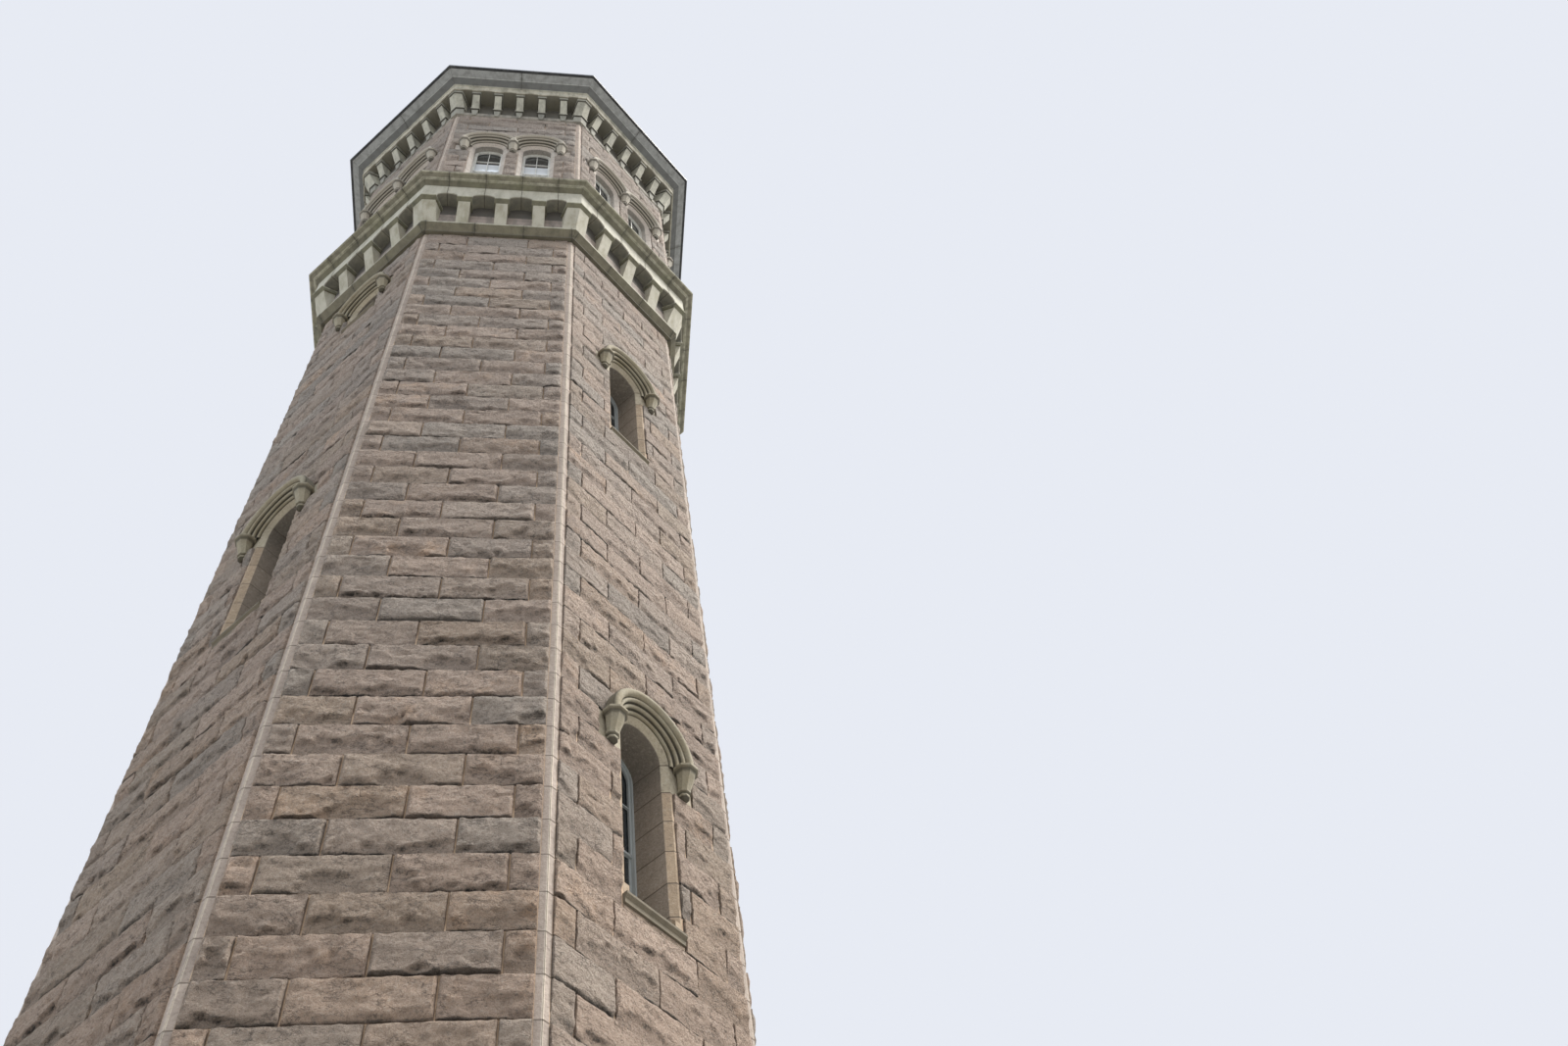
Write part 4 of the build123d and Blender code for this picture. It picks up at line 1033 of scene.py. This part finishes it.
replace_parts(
    hoods(
        "shaft_hoods", WINDOW_HALF, SHAFT_REACH, shaft_places, shaft_stops,
        projection=25 * MM, grid=(9, 41), power=4,
    ),
    "shaft_window_hoods",
)
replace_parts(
    hoods(
        "upper_hoods", BELVEDERE_HALF, BELVEDERE_REACH, belvedere_places, belvedere_stops,
        projection=27 * MM, grid=(6, 27), power=2.6,
    ),
    "belvedere_hoods",
)

# %% [markdown]
# ## Sash windows
# Every window holds two painted sashes behind a fixed frame, the upper one in front of the lower. Thin bars
# divide each sash into four panes. The curved members are a small section turned about the arch's centre and
# carried down both sides, and the straight ones are boxes.

# %% Shapes of frames, sashes and bars
FRAME_RING, SASH_RING, BAR_WIDTH = 3.5 * MM, 3.6 * MM, 2.0 * MM
UPPER_SASH_BACK, LOWER_SASH_BACK, SASH_DEPTH = 3.0 * MM, 6.5 * MM, 3.4 * MM
FRAME_DEPTH, MEETING_SHARE = 14 * MM, 0.46


def arched_band(outer, inner, front, back, straight, turns=15):
    """A square-edged band round an arched opening, from foot to foot, with its sides turned back."""
    turn = np.concatenate([[0], np.linspace(0, pi, turns), [pi]])[:, None]
    drop = np.where((np.arange(turns + 2) == 0) | (np.arange(turns + 2) == turns + 1), straight, 0)[:, None]
    radius, out = np.array([(outer, back), (outer, front), (inner, front), (inner, back)]).T
    along, height = np.cos(turn) * radius, np.sin(turn) * radius - drop
    return (along, height, out + 0 * along), grid_faces(1, turns + 2, 4)


def sash_bars(half, straight):
    """Rails, meeting rails and thin bars of both sashes, with heights from the arch's centre."""
    middle = -straight * MEETING_SHARE
    inner = half - FRAME_RING
    upper_mid, lower_mid = (middle + inner) / 2, (middle - straight) / 2
    upper, lower = ((-back - SASH_DEPTH, -back) for back in (UPPER_SASH_BACK, LOWER_SASH_BACK))
    edge = inner - SASH_RING
    rows = [
        ((-inner, inner), (middle - 2 * MM, middle + 2.4 * MM), upper),
        ((-inner, inner), (middle - 2.4 * MM, middle + 2 * MM), lower),
        ((-half, half), (-straight, -straight + 3 * MM), (-FRAME_DEPTH, 0)),
        ((-inner, inner), (-straight + 3 * MM, -straight + 9 * MM), lower),
        ((-BAR_WIDTH / 2, BAR_WIDTH / 2), (middle, inner - SASH_RING), upper),
        ((-BAR_WIDTH / 2, BAR_WIDTH / 2), (-straight, middle), lower),
        ((-edge, edge), (upper_mid - BAR_WIDTH / 2, upper_mid + BAR_WIDTH / 2), upper),
        ((-edge, edge), (lower_mid - BAR_WIDTH / 2, lower_mid + BAR_WIDTH / 2), lower),
    ]
    for sign in (-1, 1):
        side = tuple(sorted((sign * inner, sign * edge)))
        rows.append((side, (-straight, middle), lower))
    along, height, out = zip(*rows)
    return boxes(along, height, out)


def sashes(half, straight, places, reach):
    """Everything painted in one window, at all its places."""
    parts = [
        arched_band(half, half - FRAME_RING, 0, -FRAME_DEPTH, straight),
        arched_band(
            half - FRAME_RING, half - FRAME_RING - SASH_RING, -UPPER_SASH_BACK,
            -UPPER_SASH_BACK - SASH_DEPTH, straight * MEETING_SHARE,
        ),
        sash_bars(half, straight),
    ]
    return [repeat(*part, places, reach) for part in parts]


print("sash bars are", BAR_WIDTH / MM, "mm wide")

# %% [markdown]
# The paint is white on the belvedere, with worn streaks that run down. On the shaft it is an even, dull grey,
# which is the white painted as it looks in shade.
# In the streaks it shines less. The short windows under the cornice need sashes of their own, with short
# sides.

# %% Painted sashes in every window
FRESH_WHITE, WORN_WHITE, SHAFT_WHITE_IN_SHADE = (0.700, 0.700, 0.670), (0.480, 0.470, 0.430), (0.410, 0.440, 0.450)

paint_white = Finish("white_paint_worn_and_shaded")
paint_clouds = paint_white.noise(120, 4, stretch=(1, 1, 0.3))
white = paint_white.mix(FRESH_WHITE, WORN_WHITE, paint_clouds.between(0.48, 0.75))
# Painted shade: below the belvedere the white turns into a grey that stands for it in shade.
white = paint_white.mix(SHAFT_WHITE_IN_SHADE, white, paint_white.axis(2).between(*BELVEDERE_LEVEL))
white_material = paint_white.done(white, 0.30 + paint_clouds * 0.30, paint_clouds, 0.3 * MM)

full_places = [place for place in shaft_places if place[2] < SHORT_WINDOW_LEVEL]
short_places = [place for place in shaft_places if place[2] > SHORT_WINDOW_LEVEL]
SHAFT_FRAME, BELVEDERE_FRAME = SHAFT_REACH - 62 * MM, BELVEDERE_REACH - 24 * MM
shaft_parts = sashes(WINDOW_HALF, SHAFT_STRAIGHT, full_places, SHAFT_FRAME)
shaft_parts += sashes(WINDOW_HALF, SHORT_STRAIGHT, short_places, SHAFT_FRAME)
upper_parts = sashes(BELVEDERE_HALF, BELVEDERE_STRAIGHT, belvedere_places, BELVEDERE_FRAME)
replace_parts(build("shaft_sashes", shaft_parts, white_material, 30), "shaft_window_frames")
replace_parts(build("upper_sashes", upper_parts, white_material, 30), "belvedere_frames")

# %% [markdown]
# The CAD panes stay and only get a material. Real glass would need rooms behind it, so the shaft's panes are
# dark and glossy, with some dust. The lower part of the belvedere's panes is painted pale, higher and paler
# in front than elsewhere. The pale is painted on the glass, because no more than its colour shows.

# %% Window glass
DARK_PANE, PALE_PANE, FRONT_PALE_PANE = (0.030, 0.034, 0.038), (0.430, 0.470, 0.510), (0.760, 0.800, 0.860)
CLEAN_PANE, DUSTY_PANE = (0.026, 0.030, 0.034), (0.048, 0.050, 0.050)
PALE_PANE_TOP, FRONT_PALE_PANE_TOP, FRONT_PANES = 4196 * MM, 4304 * MM, -400 * MM

dark_glass = Finish("dark_window_glass")
dust = dark_glass.noise(140, 4)
pane_color = dark_glass.mix(CLEAN_PANE, DUSTY_PANE, dust.between(0.45, 0.75))
paint(dark_glass.done(pane_color, 0.02 + dust * 0.08), "shaft_window_panes")

glass = Finish("glass_pale_below")
height = glass.axis(2)
in_front = glass.axis(1).between(FRONT_PANES, FRONT_PANES - 10 * MM)
# The lower part of each pane is painted pale, and on the front higher and paler.
pane_color = glass.mix(DARK_PANE, PALE_PANE, height.between(PALE_PANE_TOP, PALE_PANE_TOP - 4 * MM))
front_part = height.between(FRONT_PALE_PANE_TOP, FRONT_PALE_PANE_TOP - 3 * MM) * in_front
pane_color = glass.mix(pane_color, FRONT_PALE_PANE, front_part)
paint(glass.done(pane_color, 0.02 + glass.noise(140, 4) * 0.08), "belvedere_panes")
print("panes are dark, with pale_panes up to", PALE_PANE_TOP, "and in front up to", FRONT_PALE_PANE_TOP)

# %% [markdown]
# ## Smooth stone, stained by the weather
# Cornices, corbels, copings and sills are dressed smooth. Their material has a base colour, a darker stain
# that runs down in streaks, green growth in clouds, and joints at an even pitch along each side with a dirty
# halo. What lies deep, such as the backs of small arches, is painted dark as shade. Each member takes its own
# colours, because rain reaches some and not others.

# %% Material of smooth stone
GROWTH, JOINT_SHADE = (0.175, 0.175, 0.100), (0.060, 0.052, 0.042)
OLIVE, DARK_OLIVE, SOOT = (0.200, 0.185, 0.140), (0.060, 0.056, 0.040), (0.080, 0.077, 0.070)


def smooth_stone(name, base, stain, amount, growth=0.0, pitch=None, shift=0.0, bed=None, bands=(), deep=0.0):
    """Base colour, bands of other colours between two heights, streaks of stain, growth, and joints.

    What lies closer to the axis than deep, such as the backs of small arches, is painted dark as shade.
    """
    f = Finish(name)
    out, along = f.side()
    height = f.axis(2)
    clouds, streaks = f.noise(17, 4), f.noise(55, 4, 0.6, stretch=(1, 1, 0.22))
    grain = f.noise(420, 4, 0.65)
    color = base
    for low, high, band_color in bands:
        color = f.mix(color, band_color, f.line(abs(height - (low + high) / 2), (high - low) / 2))
    # Painted shade on what lies deep, such as the backs of the small arches.
    color = f.mix(color, DARK_OLIVE, f.line(out, deep) * 0.75) if deep else color
    color = f.mix(color, stain, streaks.between(0.42, 0.70) * amount)
    color = f.mix(color, GROWTH, clouds.between(0.44, 0.66) * growth)
    relief = grain
    if pitch:
        every_other = (f.math("FLOOR", height / bed) % 2.0) * (pitch / 2) if bed else 0
        distance = f.math("PINGPONG", along + shift + every_other, pitch / 2)
        halo = f.line(distance, 1 * MM, 9 * MM) * f.noise(90, 3).between(0.35, 0.65)
        color = f.mix(color, stain, halo * 0.75)
        joint = f.line(distance, 0.45 * MM)
        color = f.mix(color, JOINT_SHADE, joint * 0.85)
        relief = relief - joint * 2
    if bed:
        joint = f.line(f.math("PINGPONG", height, bed / 2), 0.5 * MM)
        color = f.mix(color, JOINT_SHADE, joint * 0.8)
    color = f.shade(color, 0.66 + grain * 0.44 + clouds * 0.26)
    return f.done(color, 1.0 - grain * 0.24, relief, 1.0 * MM)


print("growth on smooth stone has the colour", GROWTH)

# %% [markdown]
# The mouldings of both cornices are pale on some of their steps and dark on others: painted shade under the
# caps, the lips and the small arches, with soot on the frieze, and painted light on the thin lips of the
# coping and the upper cornice. That follows the height alone, so we paint bands between two heights, which
# are counted from the frame's boxes.

# %% Heights of the bands
CREAM, PALE, COOL_GREY = (0.445, 0.420, 0.350), (0.500, 0.480, 0.410), (0.285, 0.290, 0.285)
STRING_FOOT, STRING_TOP = (part.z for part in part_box("string_course"))
COPING_FOOT, COPING_TOP = (part.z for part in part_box("lower_coping"))
BLOCK_FOOT, UPPER_CAP_TOP = (part.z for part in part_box("upper_corbels"))
CORNICE_FOOT, CAP_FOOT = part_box("upper_cornice")[0].z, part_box("corbel_caps")[0].z
CORBEL_PITCH = 96 * MM
string_bands = [
    (STRING_FOOT, STRING_FOOT + 8 * MM, (0.120, 0.106, 0.076)),
    (STRING_FOOT + 8 * MM, STRING_TOP - 8 * MM, (0.170, 0.152, 0.108)),
]
# Painted shade, with soot, at the top of the frieze under the small arches.
frieze_shade_and_soot_bands = [(CAP_FOOT - 25 * MM, COPING_FOOT, (0.090, 0.080, 0.068))]
# Painted shade at the foot of the corbels' caps.
cap_shade_bands = [(CAP_FOOT, CAP_FOOT + 13 * MM, (0.150, 0.140, 0.095))]
# Painted shade under the coping, and painted light on two of its thin lips.
coping_shade_and_light_bands = [
    (COPING_FOOT, COPING_FOOT + 17 * MM, (0.145, 0.134, 0.096)),
    (COPING_FOOT + 17 * MM, COPING_FOOT + 20 * MM, (0.360, 0.345, 0.275)),
    (COPING_TOP - 8 * MM, COPING_TOP - 5 * MM, (0.400, 0.380, 0.300)),
]
# The upper corbels' pendant blocks and caps, with a painted shadow line under each lip and under each cap.
block_and_shadow_line_bands = [
    (BLOCK_FOOT, BLOCK_FOOT + 41 * MM, (0.300, 0.290, 0.250)),
    (BLOCK_FOOT + 41 * MM, BLOCK_FOOT + 46 * MM, (0.090, 0.085, 0.070)),
    (UPPER_CAP_TOP - 24 * MM, UPPER_CAP_TOP - 20 * MM, (0.110, 0.105, 0.085)),
    (UPPER_CAP_TOP - 20 * MM, UPPER_CAP_TOP, (0.290, 0.280, 0.235)),
]
# Painted light on the upper cornice's two thin lips, and painted shade on the band between them.
cornice_shade_and_light_bands = [
    (CORNICE_FOOT, CORNICE_FOOT + 4 * MM, (0.480, 0.470, 0.410)),
    (CORNICE_FOOT + 4 * MM, CORNICE_FOOT + 20 * MM, (0.135, 0.138, 0.135)),
    (CORNICE_FOOT + 21 * MM, CORNICE_FOOT + 25 * MM, (0.450, 0.450, 0.420)),
]
print("the upper cornice starts at", round(CORNICE_FOOT, 3))

# %% [markdown]
# Each material goes on the member that it is named for, by a dictionary from members to material. The coping
# and the small arches have their joints midway between the corbels, and the upper cornice has one joint in
# the middle of each side.

# %% Smooth stone on its members
STONEWORK = {
    ("plinth",): smooth_stone("plinth_stone", (0.37, 0.32, 0.27), SOOT, 0.3, pitch=150 * MM, bed=COURSE),
    ("doorway_surround", "doorstep"): smooth_stone(
        "doorway_stone", (0.42, 0.38, 0.31), SOOT, 0.25, bed=COURSE
    ),
    ("shaft_window_sills", "belvedere_sills"): smooth_stone(
        "sill_stone", (0.165, 0.138, 0.098), DARK_OLIVE, 0.35
    ),
    ("string_course",): smooth_stone(
        "string_stone", (0.42, 0.40, 0.32), DARK_OLIVE, 0.5, growth=0.15, pitch=122 * MM, shift=61 * MM,
        bands=string_bands,
    ),
    ("lower_frieze",): smooth_stone(
        "frieze_stone", (0.30, 0.25, 0.22), SOOT, 0.6, bed=35 * MM, bands=frieze_shade_and_soot_bands
    ),
    ("lower_corbels",): smooth_stone("corbel_stone", CREAM, (0.230, 0.205, 0.135), 0.65, growth=0.15),
    ("corbel_caps",): smooth_stone(
        "cap_stone", (0.36, 0.34, 0.25), DARK_OLIVE, 0.7, growth=0.2, bands=cap_shade_bands
    ),
    ("corbel_arches",): smooth_stone(
        "arcade_stone", PALE, (0.270, 0.250, 0.190), 0.6, pitch=CORBEL_PITCH, shift=CORBEL_PITCH / 2,
        deep=SHAFT_REACH + 51 * MM,
    ),
    ("lower_coping",): smooth_stone(
        "coping_stone", OLIVE, DARK_OLIVE, 0.7, growth=0.35, pitch=CORBEL_PITCH, shift=CORBEL_PITCH / 2,
        bands=coping_shade_and_light_bands,
    ),
    ("upper_string",): smooth_stone("thin_string_stone", (0.30, 0.275, 0.235), SOOT, 0.7),
    ("upper_corbels",): smooth_stone(
        "upper_corbel_stone", (0.45, 0.435, 0.365), SOOT, 0.5, bands=block_and_shadow_line_bands
    ),
    ("upper_fascia",): smooth_stone(
        "fascia_stone", (0.52, 0.49, 0.41), (0.180, 0.165, 0.120), 0.7, deep=SHAFT_REACH + 77 * MM
    ),
    ("upper_cornice",): smooth_stone(
        "cornice_stone", COOL_GREY, SOOT, 0.5, pitch=480 * MM, bands=cornice_shade_and_light_bands
    ),
    ("ground_floor", "belvedere_floor"): smooth_stone("floor_stone", (0.35, 0.34, 0.32), SOOT, 0.3),
}
for members, material in STONEWORK.items():
    paint(material, *members)
print("smooth stone of", len(STONEWORK), "kinds")

# %% [markdown]
# ## Slates on the roof and the spire
# The roof is out of the camera's sight, but anyone who walks round the model sees it. Slates hang in rows
# from the eaves to the top. Each is a thin wedge, thickest at its lower edge, laid over the joint between two
# slates below. We make them flat, in distances along the side, up the slope and out of it, and only then
# lean them back. Where a slate would pass the hip it is cut there, and a roll of lead covers the hip.

# %% Shapes of slates and hips
SLATE_GAP, SLATE_LAP, SLATE_EDGE = 0.4 * MM, 1.25, 0.3 * MM


def slates(low_reach, low, high_reach, high, exposed, width, thickness, rng):
    """Wedges on all eight slopes between two levels, with a random tone for each slate."""
    run, rise = low_reach - high_reach, high - low
    length = (run * run + rise * rise) ** 0.5
    rows = []
    for number in range(int(length / exposed)):
        foot = number * exposed
        half = (low_reach - foot * run / length) * CORNER_SLOPE
        starts = np.arange(-half - width * (number % 2) / 2, half, width)
        ends = [(max(start, -half) + SLATE_GAP, min(start + width, half) - SLATE_GAP) for start in starts]
        rows += [(left, right, foot) for left, right in ends if right > left]
    left, right, foot = np.array(rows).T
    head = np.minimum(foot + exposed * SLATE_LAP, length)
    (along, up, out), faces = boxes(
        np.stack([left, right], -1), np.stack([foot, head], -1), np.stack([0 * foot, 0 * foot + 1], -1)
    )
    lift = thickness * (1 + 0.5 * rng.random((len(foot), 1)))
    out = out * np.where(up > foot[:, None] + exposed / 2, SLATE_EDGE, lift)
    out_reach = low_reach - up * run / length + out * rise / length
    level = low + up * rise / length + out * run / length
    half = (low_reach - up * run / length) * CORNER_SLOPE
    points, faces = repeat((np.clip(along, -half, half), level, out_reach), faces, EVERY_SIDE, 0)
    tone = np.repeat(rng.random((len(SIDE_ANGLES), len(foot))), 8, axis=1)
    return (points, faces), tone


def hip_rolls(low_reach, low, high_reach, high, radius):
    """Eight-sided rolls along the hips: a circle at either end, flattened a little, at the corner's angle."""
    turn = np.radians(45 * np.arange(8))[None, :]
    reach = np.array([low_reach, high_reach])[:, None] / cos(pi / 8)
    level = np.array([low, high])[:, None]
    along, rise = radius * np.cos(turn), radius * np.sin(turn)
    shape = (along + 0 * reach, level + rise, reach + rise * 0.6)
    return repeat(shape, grid_faces(1, 2, 8, wrap=True), EVERY_CORNER, 0)


print("slates lie", SLATE_GAP / MM, "mm from the joint between them")

# %% [markdown]
# Slate is a split stone, dark with a purple cast, and moss grows on it in patches. Each slate has a tone of
# its own, stored in the mesh. Lead turns dull with age but still shines a little, so that material is partly
# metallic. It also covers the gutter's rim, the lantern's curb and the finial.

# %% Slate and lead
DARK_SLATE, PURPLE_SLATE, MOSS = (0.070, 0.078, 0.090), (0.135, 0.130, 0.135), (0.160, 0.170, 0.120)
DARK_LEAD, DULL_LEAD = (0.028, 0.029, 0.032), (0.070, 0.070, 0.072)

slate = Finish("split_slate")
slate_tone, slate_clouds = slate.attribute("tone"), slate.noise(160, 4)
slate_color = slate.mix(DARK_SLATE, PURPLE_SLATE, slate_tone)
slate_color = slate.mix(slate_color, MOSS, slate.noise(40, 3).between(0.58, 0.75) * 0.5)
slate_material = slate.done(slate_color, 0.40 + slate_clouds * 0.30, slate_clouds, 0.8 * MM)
metal = Finish("dark_lead", metallic=0.3)
metal_clouds = metal.noise(30, 4)
metal_color = metal.mix(DARK_LEAD, DULL_LEAD, metal_clouds.between(0.45, 0.7))
metal_material = metal.done(metal_color, 0.35 + metal_clouds * 0.30, metal_clouds, 1.0 * MM)
paint(slate_material, "roof_slopes", "lantern_spire")
paint(metal_material, "gutter_rim", "lantern_curb", "finial")
print("nodes in the slate and in the lead:", len(slate.tree.nodes), len(metal.tree.nodes))

# %% [markdown]
# Each roof is given by four numbers: the reach and the height of its eaves, and those of its top. We take
# them from the frame's boxes, so the slates follow the model.

# %% Slates and hips in place
roof_low, roof_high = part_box("roof_slopes")
spire_low, spire_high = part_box("lantern_spire")
ROOF_SLOPE = (roof_high.x, roof_low.z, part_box("lantern_curb")[1].x - 12 * MM, roof_high.z)
SPIRE_SLOPE = (spire_high.x, spire_low.z, 18 * MM, spire_high.z)
HIP_LIFT = 1 * MM


def hips(slope, radius):
    """The rolls on the hips of one roof, which start a little above its eaves."""
    low_reach, low, high_reach, high = slope
    return hip_rolls(low_reach, low + HIP_LIFT, high_reach, high, radius)


slate_rng = np.random.default_rng(7)
roof_group, roof_tone = slates(
    *ROOF_SLOPE, exposed=22 * MM, width=25 * MM, thickness=1.5 * MM, rng=slate_rng
)
spire_group, spire_tone = slates(
    *SPIRE_SLOPE, exposed=14 * MM, width=15 * MM, thickness=1.0 * MM, rng=slate_rng
)
tones = {"tone": [roof_tone, spire_tone]}
build("roof_slates", [roof_group, spire_group], slate_material, 30, tones)
build("hip_rolls", [hips(ROOF_SLOPE, 3 * MM), hips(SPIRE_SLOPE, 2 * MM)], metal_material, 50)

# %% [markdown]
# ## Louvres
# The lantern's panels are louvred: sloping boards that let air through and keep rain out. They could be one
# board and an Array modifier. Here they are boxes whose outer edge we push down, because the boxes' helper is
# at hand. The wood is unpainted and has weathered to grey, with an upright grain.

# %% Louvres and woodwork
SLATS, SLAT_EDGE = 12, 1.6 * MM
SLAT_BACK, SLAT_FRONT, SLAT_FALL = -1 * MM, 4.5 * MM, 0.9
OLD_WOOD, DARK_WOOD = (0.470, 0.450, 0.400), (0.280, 0.265, 0.235)

lantern_low, lantern_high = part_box("lantern_louvres")
half_panel = lantern_high.x * CORNER_SLOPE - 16 * MM
slat_pitch = (lantern_high.z - lantern_low.z) / SLATS
slat_feet = lantern_low.z + slat_pitch * (np.arange(SLATS) + 0.45)
slat_ends, slat_depths = [(-half_panel, half_panel)] * SLATS, [(SLAT_BACK, SLAT_FRONT)] * SLATS
slat_edges = [(foot, foot + SLAT_EDGE) for foot in slat_feet]
(along, height, out), slat_faces = boxes(slat_ends, slat_edges, slat_depths)
slat_group = repeat((along, height - out * SLAT_FALL, out), slat_faces, EVERY_SIDE, lantern_high.x)
wood = Finish("weathered_grey_wood")
wood_grain = wood.noise(90, 4, stretch=(1, 1, 0.25))
wood_color = wood.mix(OLD_WOOD, DARK_WOOD, wood_grain.between(0.42, 0.70))
wood_material = wood.done(wood_color, 0.60 + wood_grain * 0.20, wood_grain, 0.5 * MM)
build("louvre_slats", [slat_group], wood_material, 30)
paint(wood_material, "lantern_posts", "lantern_louvres", "lantern_eaves")

# %% [markdown]
# ## The entrance doors
# The doors are planks under green paint, worn where hands and weather reach. The grooves between planks are
# so shallow that bump is enough, and the CAD doors stay as they are.

# %% The entrance doors
HALF_PLANK = 6 * MM
DOOR_GREEN, WORN_GREEN = (0.022, 0.045, 0.030), (0.060, 0.080, 0.060)

door = Finish("green_door_paint")
plank = door.line(door.math("PINGPONG", door.axis(0), HALF_PLANK), 0.4 * MM)
door_wear = door.noise(60, 4, stretch=(1, 1, 0.3))
door_color = door.mix(DOOR_GREEN, WORN_GREEN, door_wear.between(0.45, 0.75))
door_color = door.shade(door_color, 1 - plank * 0.6)
paint(door.done(door_color, 0.30 + door_wear * 0.20, door_wear * 0.3 - plank, 0.8 * MM), "entrance_doors")
print("planks", round(2 * HALF_PLANK / MM), "mm wide on the doors")
